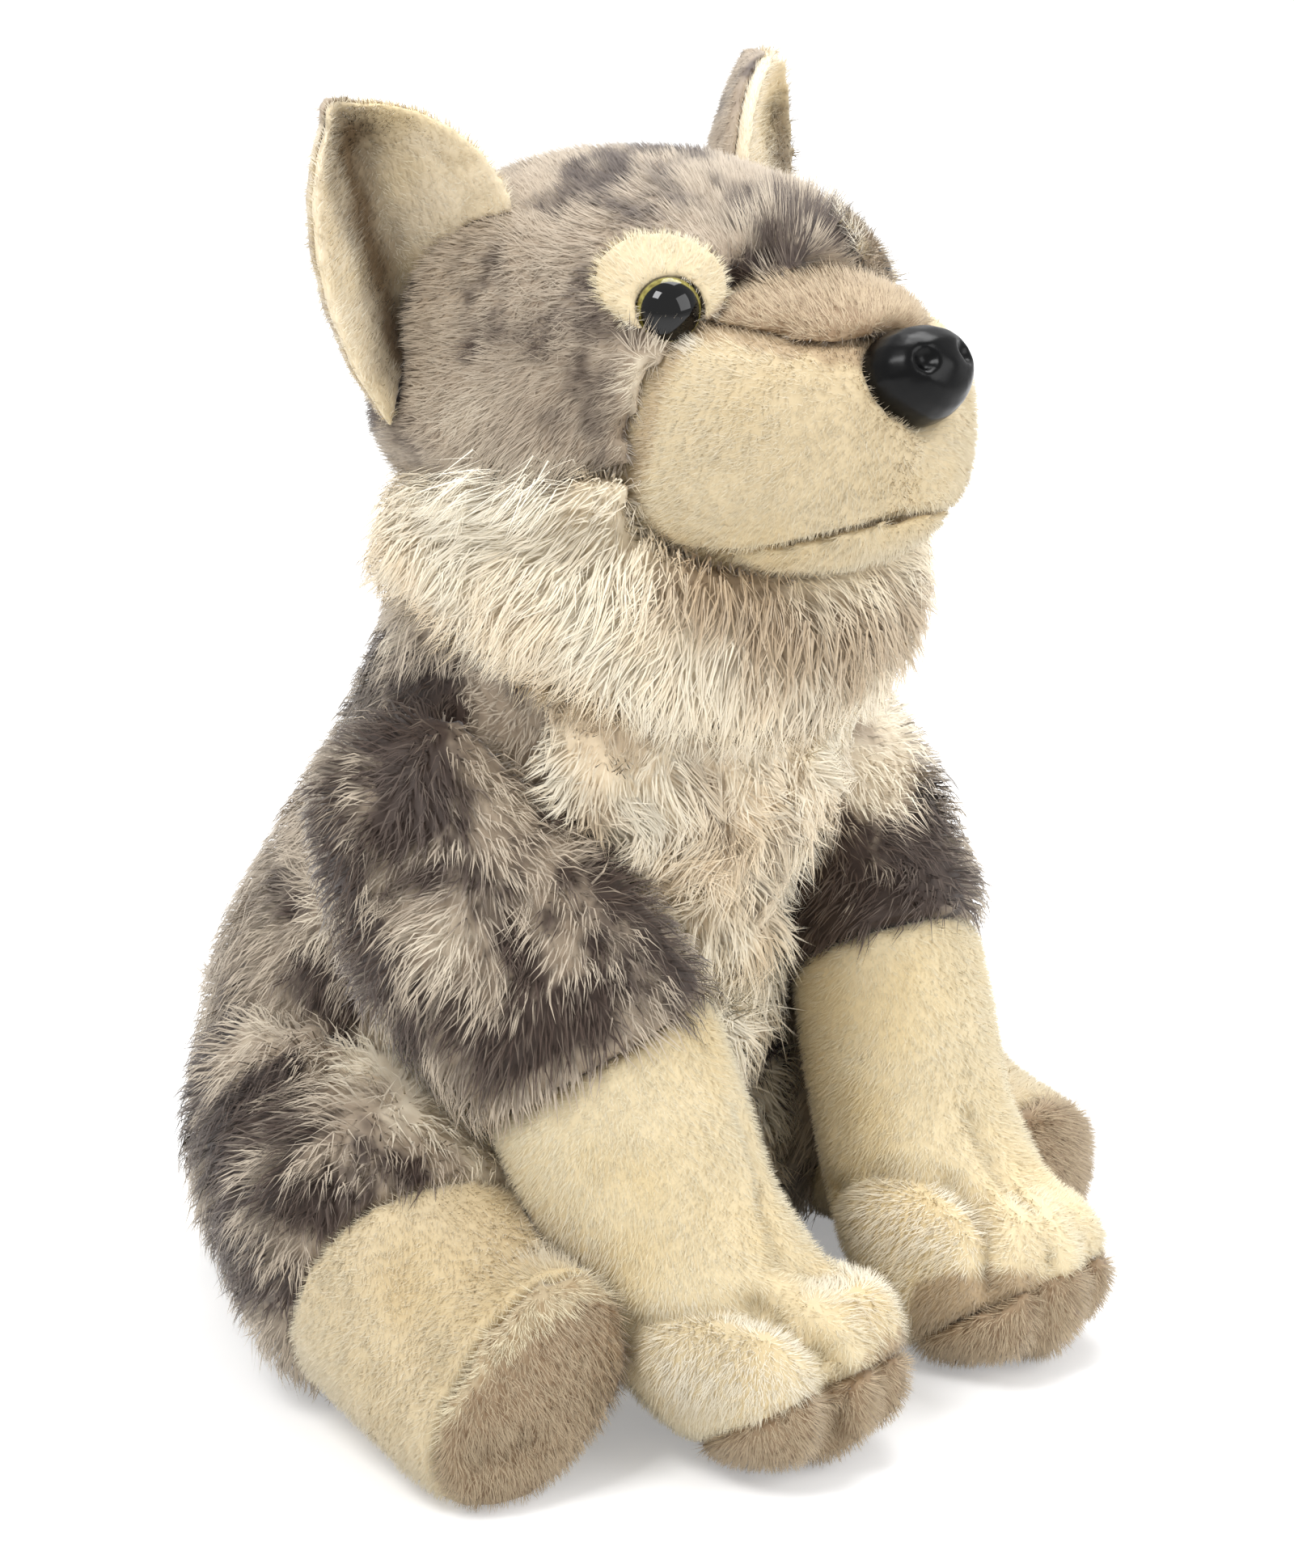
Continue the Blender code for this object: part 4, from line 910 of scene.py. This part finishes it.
def tones(colours, name):
    """One colour of the group with its warm, root and frosted tones."""
    return [getattr(colours, name + part) for part in ("", "_warm", "_root", "_frost")]


def obstacle_tree():
    """All the cloth, as what the pile can't pass through."""
    points, faces = [], []
    total = 0
    for node in ALL_PANELS:
        mesh = cloth_of(node).data
        faces.append(triangles_of(mesh) + total)
        points.append(points_of(mesh))
        total += len(mesh.vertices)
    return BVHTree.FromPolygons(np.concatenate(points).tolist(), np.concatenate(faces).tolist())


def colour_prop(name, description, default):
    """A colour that a user can change."""
    return bpy.props.FloatVectorProperty(
        name=name, description=description, default=default, size=3, min=0.0, max=1.0, subtype="COLOR_GAMMA")


def length_prop(name, description, default):
    """A length that a user can change."""
    return bpy.props.FloatProperty(
        name=name, description=description, default=default, min=0.0, unit="LENGTH")


class WolfPileSizes(bpy.types.PropertyGroup):
    """The lengths and widths of the pile."""
    body: length_prop("Body pile", "Length of the grey pile on the body", 0.0100)
    head: length_prop("Head pile", "Length of the grey pile on the head", 0.0052)
    ear: length_prop("Ear pile", "Length of the grey pile on the backs of the ears", 0.0025)
    ruff: length_prop("Ruff pile", "Length of the hanging pile under the cheeks", 0.0125)
    bib: length_prop("Bib pile", "Length of the wavy pile on the chest", 0.013)
    velvet: length_prop("Velvet pile", "Length of the short pile on the muzzle and the lower legs", 0.0028)
    sole: length_prop("Sole pile", "Length of the tan pile on the soles", 0.0042)
    strand: length_prop("Strand width", "Width of a long strand at its root", 0.00046)
    head_strand: length_prop("Head strand width", "Width of a strand of the head at its root", 0.00038)
    velvet_strand: length_prop("Velvet strand width", "Width of a short strand at its root", 0.00030)


class WolfColours(bpy.types.PropertyGroup):
    """The colours of the pile and the plastic parts, as seen on screen."""
    grey_light: colour_prop("Grey, light", "The greige of the coat", (0.71, 0.65, 0.57))
    # Also the painted shade in the hollows of the coat and the crease of the brow
    grey_dark: colour_prop("Grey, dark", "The brown blotches of the coat", (0.26, 0.19, 0.145))
    grey_root: colour_prop("Grey, root", "What the coat's roots are multiplied by", (0.84, 0.81, 0.78))
    grey_frost: colour_prop("Grey, frosted", "The coat's pale tips and crowns", (0.84, 0.79, 0.71))
    cream: colour_prop("Cream", "The long cream pile", (0.97, 0.93, 0.84))
    cream_warm: colour_prop("Cream, warm", "The peach tint in the long cream pile", (0.94, 0.86, 0.73))
    cream_root: colour_prop("Cream, root", "What the long cream roots are multiplied by", (0.96, 0.92, 0.85))
    cream_frost: colour_prop("Cream, frosted", "The pale tips of the long cream pile", (0.98, 0.96, 0.90))
    # Painted shadow under the chin and in the ruff and bib, with the pile's browner roots
    cream_shade: colour_prop("Cream, shaded", "The browner parts of the long cream pile", (0.72, 0.63, 0.51))
    velvet: colour_prop("Velvet", "The short cream pile", (0.905, 0.857, 0.73))
    velvet_warm: colour_prop("Velvet, warm", "The yellower patches of the velvet", (0.905, 0.838, 0.67))
    velvet_root: colour_prop("Velvet, root", "What the velvet's roots are multiplied by", (0.93, 0.90, 0.85))
    velvet_frost: colour_prop("Velvet, frosted", "The pale tips of the short cream pile", (0.985, 0.96, 0.90))
    # Painted shade in the ears' hollow, over their darker tan middle
    ear_hollow_shade: colour_prop("Ear, deep", "The deep middle of the ears", (0.42, 0.345, 0.24))
    tan: colour_prop("Tan", "The short tan pile", (0.72, 0.64, 0.52))
    tan_warm: colour_prop("Tan, warm", "The paler patches of the tan pile", (0.75, 0.67, 0.55))
    tan_root: colour_prop("Tan, root", "What the tan roots are multiplied by", (0.72, 0.66, 0.60))
    tan_frost: colour_prop("Tan, frosted", "The pale tips of the tan pile", (0.84, 0.77, 0.66))
    black: colour_prop("Black", "The nose and the pupils", (0.012, 0.012, 0.014))
    iris: colour_prop("Iris", "The gold olive rim of the eyes", (0.60, 0.57, 0.30))


class WOLF_OT_sew(bpy.types.Operator):
    """Sews the filled cloth panels that replace the plain solids"""
    bl_idname = "wolf.sew"
    bl_label = "Sew the panels"

    def execute(self, context):
        for node in ALL_PANELS:
            fineness = FINE_SEWING if node in FINE_PANELS else BODY_SEWING
            sewing = THIN_SEWING if node in THIN_PANELS else fineness
            piece = sew(node, *sewing, FORELEG_SMOOTHING if node in FORELEGS else SMOOTHING)
            node_slot(node)
        cloths = obstacle_tree()
        away = -np.array(view_axes()[2])
        creased = [(ALL_PANELS, *crease, None) for crease in CREASES.values()]
        hollowed = [(*hollow, away) for hollow in HOLLOWS]
        for nodes, pixels, width, depth, direction in creased + hollowed:
            line = line_on(cloths, pixels)
            for node in nodes:
                press(cloth_of(node), line, width / 1000, depth / 1000, direction)
        return {"FINISHED"}


def dye_and_shade_cloth(cloth, dye_and_shade, along):
    """Gives the cloth the colours and painted shade of the pile that grows on it, as its strands are that far
    along.
    """
    points = points_of(cloth.data)
    facts = np.tile((along, 0.5, 0.0, 1.0), (len(points), 1))
    facts[:, 2] = dye_and_shade(points)
    colours = cloth.data.color_attributes.new(STRAND_FACTS, "FLOAT_COLOR", "POINT")
    colours.data.foreach_set("color", facts.ravel())


def grow_all(nodes, pile_for, material, seed, obstacles, dye_and_shade, given=()):
    """Brushes the pile of these nodes, and colours their cloth to match."""
    longer, shorter = (painter(strokes, obstacles, 23, 0.1) for strokes in (LONGER_STROKES, SHORTER_STROKES))
    for i, node in enumerate(nodes):
        cloth = cloth_of(node)
        piece = brush(node + "_pile", cloth, pile_for(node), obstacles, seed + i, dye_and_shade,
                      lambda at: longer(at) - shorter(at), given)
        dye_and_shade_cloth(cloth, dye_and_shade, LONG_CREAM_ALONG if node in LONG_CREAM else CLOTH_ALONG)
        cloth.data.materials.append(material)
        piece.data.materials.append(material)
        node_slot(node)


class WOLF_OT_coat(bpy.types.Operator):
    """Brushes the dyed grey pile of the body, the head and the ears"""
    bl_idname = "wolf.coat"
    bl_label = "Grey coat"

    def execute(self, context):
        sizes, colours = context.scene.wolf_pile, context.scene.wolf_colours
        coat = coat_finish("grey_long_pile", colours.grey_light, colours.grey_dark, colours.grey_root,
                           colours.grey_frost, colours.cream)
        obstacles = obstacle_tree()
        # Dark blotches, with painted shade in the hollows by the near foreleg and in the brow's crease
        dye_and_shade = coat_dye_and_shade(obstacles)
        body = Pile(sizes.body, sizes.strand, 64, 42, 74, comb_down, clump=0.4, clump_size=0.0035,
                    burst=0.35, fuzz=0.2, sag=0.05, wander=0.6, wander_size=0.035)
        parted = seen_points(CROWN_PIXELS, obstacles)
        grow_all(LONG_GREY, lambda node: body, coat, 100, obstacles, dye_and_shade, parted)
        face, eye = middle("muzzle_bridge"), middle("eye_right")
        tuft = painter(TUFT_STROKES, obstacles, 5, 0.0)

        def comb_head(roots, normals):
            under_eye = tuft(roots)[:, None]
            return unit(roots - face) * (1 - under_eye) + unit(eye - roots) * under_eye * 2

        head = Pile(sizes.head, sizes.head_strand, 225, 62, 62, comb_head, clump=0.35, clump_size=0.0022,
                    fuzz=0.2, straight=True)
        ear = head._replace(length=sizes.ear, lie=72, stand=72, comb=comb_along((0.0, 0.4, -1.0)))
        grow_all(HEAD_GREY, lambda node: head if node == "head" else ear, coat, 200, obstacles,
                 coat_dye_and_shade(obstacles, 0.6))
        return {"FINISHED"}


class WOLF_OT_ruff(bpy.types.Operator):
    """Brushes the long cream pile of the ruff, the bib and the belly"""
    bl_idname = "wolf.ruff"
    bl_label = "Ruff and bib"

    def execute(self, context):
        sizes, colours = context.scene.wolf_pile, context.scene.wolf_colours
        cream = plain_pile_finish("cream_long_pile", *tones(colours, "cream"), colours.cream_shade)
        obstacles = obstacle_tree()
        cheeks = middle("muzzle") + (0.0, 0.02, 0.0)
        piles = {
            "ruff": Pile(sizes.ruff, sizes.strand, 128, 40, 72, comb_from(cheeks), clump=0.55,
                         clump_size=0.0045, wave=0.1, fuzz=0.25, sag=0.15, wander=0.35, wander_size=0.025),
            "chest_bib": Pile(sizes.bib, sizes.strand, 128, 38, 66, comb_down, clump=0.6, clump_size=0.0055,
                              wave=0.3, fuzz=0.2, sag=0.0, wander=1.1, wander_size=0.022),
            "belly_panel": Pile(sizes.body, sizes.strand, 80, 30, 65, comb_down, clump=0.4, fuzz=0.3),
        }
        # The long cream pile takes painted shadow under the chin and in the ruff and bib
        grow_all(LONG_CREAM, piles.get, cream, 300, obstacles, painter(SHADE_STROKES, obstacles))
        return {"FINISHED"}


class WOLF_OT_velvet(bpy.types.Operator):
    """Brushes the short cream pile of the muzzle, the ears and the lower legs"""
    bl_idname = "wolf.velvet"
    bl_label = "Short cream pile"

    def execute(self, context):
        sizes, colours = context.scene.wolf_pile, context.scene.wolf_colours
        plain = tones(colours, "velvet")
        velvet = plain_pile_finish("cream_short_pile", *plain, colours.tan)
        hollow = plain_pile_finish("ear_short_pile", colours.cream, *plain[1:], colours.ear_hollow_shade)
        lapped = plain_pile_finish("patch_short_pile", *plain, colours.grey_light)
        obstacles = obstacle_tree()
        nose = middle("nose")

        def pile_for(node):
            comb = comb_from(nose) if node in ("muzzle", "chin") else comb_down
            if "ear" in node:
                comb = comb_along((0.0, 0.0, 1.0))
            if "patch" in node:
                comb = comb_from(middle(node.replace("eye_patch", "eye")))
            return Pile(sizes.velvet, sizes.velvet_strand, 295, 52, 52, comb, fuzz=0.35, clump=0.15,
                        clump_size=0.0015, straight=True)

        cheek, bridge = painter(CHEEK_SEAM_SHADE_STROKES, obstacles, 31, 0.2), below_seam(BRIDGE_SEAM, -1.0, True)
        # The muzzle: tan below the bridge's seam, and painted shade in its seam with the cheek
        grow_all(("muzzle",), pile_for, velvet, 400, obstacles,
                 lambda at: np.maximum(cheek(at), bridge(at)) + MUZZLE_TINT)
        for i, (node, seam) in enumerate(zip(FORELEGS, (LEFT_SOLE_SEAM, RIGHT_SOLE_SEAM))):
            grow_all((node,), pile_for, velvet, 410 + i, obstacles, below_seam(seam))
        grow_all(REST_VELVET, pile_for, velvet, 420, obstacles, lambda at: no_dye(at) + MUZZLE_TINT)
        # The ear linings take painted shade in their fold and hollow
        grow_all(EAR_LININGS, pile_for, hollow, 440, obstacles, painter(EAR_SHADE_STROKES, obstacles, 31, 0.2, 0.6))
        lap = painter(LAP_STROKES, obstacles, 31, 0.2, 2.0)
        grow_all(EYE_PATCHES, pile_for, lapped, 450, obstacles, lambda at: np.maximum(lap(at), PATCH_TINT))
        return {"FINISHED"}


class WOLF_OT_tan(bpy.types.Operator):
    """Brushes the tan pile of the muzzle's bridge and the soles"""
    bl_idname = "wolf.tan"
    bl_label = "Tan pile"

    def execute(self, context):
        sizes, colours = context.scene.wolf_pile, context.scene.wolf_colours
        tan = plain_pile_finish("tan_short_pile", *tones(colours, "tan"), colours.velvet, fleck=0.5)
        obstacles = obstacle_tree()
        nose = middle("nose")

        def pile_for(node):
            if node == "muzzle_bridge":
                return Pile(sizes.velvet * 1.15, sizes.velvet_strand, 360, 52, 52, comb_from(nose), fuzz=0.35,
                            straight=True)
            return Pile(sizes.sole, sizes.velvet_strand, 265, 48, 48, comb_down, fuzz=0.35, clump=0.25,
                        clump_size=0.002, straight=True)

        grow_all(PLAIN_TAN, pile_for, tan, 500, obstacles, no_dye)
        grow_all(("hindpaw_pad_right",), pile_for, tan, 510, obstacles, below_seam(HIND_SOLE_SEAM, -1.0))
        return {"FINISHED"}


def axis_of(front, behind):
    """The line of a pressed-in part: from the washer behind it to the part."""
    a, b = (points_of(frame["nodes"][n].data).mean(axis=0) for n in (front, behind))
    return unit(a - b)


# How far the pupils turn outwards and down from the middle of the eye
GAZE = np.array((0.06, 0.0, -0.12))
# The part of the eye's radius that counts as its rim
DOME_RIM = 0.9
# Where the pupil's edge and the iris' dark rim fade, as shares of the dome's height, and the tones round them
PUPIL_EDGE = (0.42, 0.47)
IRIS_EDGE = (0.25, 0.12)
IRIS_FLECKS = (0.38, 0.33, 0.12)
IRIS_RIM = (0.16, 0.13, 0.06)


def dome_of(node, axis):
    """The middle, the radius and the height of a moulded part's domed front."""
    cad = points_of(frame["nodes"][node].data)
    centre = cad.mean(axis=0)
    rise = (cad - centre) @ axis
    out = np.linalg.norm(cad - centre - np.outer(rise, axis), axis=1)
    radius = float(out.max())
    seat = float(rise[out > radius * DOME_RIM].min())
    return centre + axis * seat, radius, float(rise.max()) - seat


def eye_finish(name, colours, centre, gaze, rise):
    """Glossy plastic with a black pupil and a flecked iris, seen through the dome."""
    eye = Finish(name, Roughness=0.04, Specular_IOR_Level=0.4)
    offset = eye.node("ShaderNodeVectorMath", {"operation": "SUBTRACT"}, {0: eye.place(), 1: tuple(centre)})
    offset = offset.outputs["Vector"]
    lift = eye.node("ShaderNodeVectorMath", {"operation": "DOT_PRODUCT"}, {0: offset, 1: tuple(gaze)})
    height = Value(eye, lift.outputs["Value"])
    pupil, rim = (height.between(*(rise * share for share in edge)) for edge in (PUPIL_EDGE, IRIS_EDGE))
    iris = eye.mix(eye.noise(0.0012, 3.0).between(0.3, 0.8), shade(colours.iris), shade(IRIS_FLECKS))
    ringed = eye.mix(rim, iris, shade(IRIS_RIM))
    eye.paint("Base Color", eye.mix(pupil, ringed, shade(colours.black)))
    return eye.material


class WOLF_OT_eyes(bpy.types.Operator):
    """Moulds the glossy eyes"""
    bl_idname = "wolf.eyes"
    bl_label = "Eyes"

    def execute(self, context):
        for side, outwards in (("left", 1.0), ("right", -1.0)):
            node = "eye_" + side
            axis = axis_of(node, "eye_washer_" + side)
            centre, radius, rise = dome_of(node, axis)
            bpy.ops.object.select_all(action="DESELECT")
            bpy.ops.mesh.primitive_uv_sphere_add(segments=48, ring_count=32, radius=radius)
            piece = context.object
            piece.name = piece.data.name = node + "_dome"
            turning = Vector((0.0, 0.0, 1.0)).rotation_difference(Vector(axis)).to_matrix().to_4x4()
            flattening = Matrix.Diagonal((1.0, 1.0, rise / radius, 1.0))
            piece.data.transform(Matrix.Translation(Vector(centre)) @ turning @ flattening)
            piece.data.shade_smooth()
            gaze = unit(axis + GAZE * (outwards, 1.0, 1.0))
            piece.data.materials.append(
                eye_finish(node + "_plastic", context.scene.wolf_colours, centre, gaze, rise))
            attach(piece, "root")
            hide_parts(node)
        return {"FINISHED"}


class WOLF_OT_nose(bpy.types.Operator):
    """Moulds the semi-gloss nose"""
    bl_idname = "wolf.nose"
    bl_label = "Nose"

    def execute(self, context):
        colours = context.scene.wolf_colours
        piece = panel_copy("nose", "nose_moulding")
        apply_modifier(piece, "REMESH", mode="VOXEL", voxel_size=0.0007, use_smooth_shade=True)
        apply_modifier(piece, "SMOOTH", factor=0.5, iterations=8)
        piece.data.shade_smooth()
        plastic = Finish("black_plastic", Roughness=0.26, Specular_IOR_Level=0.17)
        grain = plastic.noise(0.0012, 3.0)
        plastic.paint("Base Color", plastic.mix(grain, shade(colours.black), shade((0.025, 0.025, 0.028))))
        plastic.bump(grain, 0.12, 0.0002)
        piece.data.materials.append(plastic.material)
        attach(piece, "root")
        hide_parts("nose")
        return {"FINISHED"}


class WOLF_OT_washers(bpy.types.Operator):
    """Gives the hidden lock washers their milky plastic"""
    bl_idname = "wolf.washers"
    bl_label = "Washers"

    def execute(self, context):
        milky = Finish("washer_plastic", Roughness=0.45)
        mottle = milky.noise(0.004).between(0.3, 0.7)
        milky.paint("Base Color", milky.mix(mottle, shade((0.86, 0.86, 0.84)), shade((0.8, 0.8, 0.78))))
        for node in ("eye_washer_left", "eye_washer_right", "nose_washer"):
            washer = frame["nodes"][node]
            for slot in washer.material_slots:
                slot.material = milky.material
        return {"FINISHED"}


def area_light(name, place, size, power):
    """A square lamp that faces the wolf."""
    light = bpy.data.lights.new(name, "AREA")
    light.size = size
    light.energy = power
    lamp = bpy.data.objects.new(name, light)
    lamp.location = place
    lamp.rotation_euler = (Vector(LIT_POINT) - Vector(place)).to_track_quat("-Z", "Y").to_euler()
    bpy.context.scene.collection.objects.link(lamp)


LIT_POINT = (0.0, -0.03, 0.13)
# Each lamp's way back, right and up from the wolf as the camera sees it, with its size and power
LAMPS = {
    "key_lamp": (1.0, -0.55, 0.9, 0.5, 11.0),
    "fill_lamp": (0.8, 1.1, 0.4, 0.9, 8.0),
    "top_lamp": (-0.1, 0.2, 1.3, 0.8, 13.0),
}
SKY_LIGHT = 0.75
FLOOR_SIDE = 12.0
FLOOR_TONE = 0.84
FLOOR_GLOW = 0.3


class WOLF_OT_stage(bpy.types.Operator):
    """Sets the pale floor, the soft lamps and the camera"""
    bl_idname = "wolf.stage"
    bl_label = "Studio"

    def execute(self, context):
        scene = context.scene
        bpy.ops.object.select_all(action="DESELECT")
        bpy.ops.mesh.primitive_plane_add(size=FLOOR_SIDE)
        floor = context.object
        floor.name = "floor"
        paper = Finish("floor_paper", Roughness=0.9)
        paper.paint("Base Color", (FLOOR_TONE, FLOOR_TONE, FLOOR_TONE, 1.0))
        path = paper.node("ShaderNodeLightPath")
        camera, glossy, clear = (Value(paper, path.outputs[f"Is {ray} Ray"])
                                 for ray in ("Camera", "Glossy", "Transmission"))
        paper.paint("Emission Color", (1.0, 1.0, 1.0, 1.0))
        paper.paint("Emission Strength", (camera + glossy + clear) * FLOOR_GLOW)
        floor.data.materials.append(paper.material)
        world = bpy.data.worlds.new("studio")
        scene.world = world
        world.use_nodes = True
        background = world.node_tree.nodes["Background"]
        background.inputs["Color"].default_value = (1.0, 1.0, 1.0, 1.0)
        background.inputs["Strength"].default_value = SKY_LIGHT
        right, up, back = view_axes()
        for name, (behind, across, above, size, power) in LAMPS.items():
            area_light(name, Vector(LIT_POINT) + back * behind + right * across + up * above, size, power)
        camera = bpy.data.cameras.new("camera")
        camera.sensor_fit = "VERTICAL"
        camera.sensor_height = FILM
        camera.lens = PIXELS_PER_METRE * VIEW_DISTANCE / PHOTO_HEIGHT * FILM
        holder = bpy.data.objects.new("camera", camera)
        eye = view_eye()
        holder.matrix_world = Matrix([(right[i], up[i], back[i], eye[i]) for i in range(3)] + [(0, 0, 0, 1)])
        scene.collection.objects.link(holder)
        scene.camera = holder
        scene.view_settings.view_transform = "Standard"
        return {"FINISHED"}


STEPS = (WOLF_OT_sew, WOLF_OT_coat, WOLF_OT_ruff, WOLF_OT_velvet, WOLF_OT_tan, WOLF_OT_eyes, WOLF_OT_nose,
         WOLF_OT_washers, WOLF_OT_stage)


class WOLF_PT_panel(bpy.types.Panel):
    """The wolf's sizes, colours and steps"""
    bl_idname = "WOLF_PT_panel"
    bl_label = "Plush wolf"
    bl_space_type = "VIEW_3D"
    bl_region_type = "UI"
    bl_category = "Plush wolf"

    def draw(self, context):
        for group in (context.scene.wolf_pile, context.scene.wolf_colours):
            box = self.layout.box()
            for name in group.bl_rna.properties.keys():
                if name not in ("rna_type", "name"):
                    box.prop(group, name)
        for step in STEPS:
            self.layout.operator(step.bl_idname)


CLASSES = (WolfPileSizes, WolfColours, *STEPS, WOLF_PT_panel)


def register():
    for kind in CLASSES:
        bpy.utils.register_class(kind)
    bpy.types.Scene.wolf_pile = bpy.props.PointerProperty(type=WolfPileSizes)
    bpy.types.Scene.wolf_colours = bpy.props.PointerProperty(type=WolfColours)


def unregister():
    del bpy.types.Scene.wolf_colours
    del bpy.types.Scene.wolf_pile
    for kind in reversed(CLASSES):
        bpy.utils.unregister_class(kind)


def main():
    """Builds the wolf."""
    register()
    for step in STEPS:
        family, name = step.bl_idname.split(".")
        getattr(getattr(bpy.ops, family), name)()


if __name__ == "__main__":
    main()
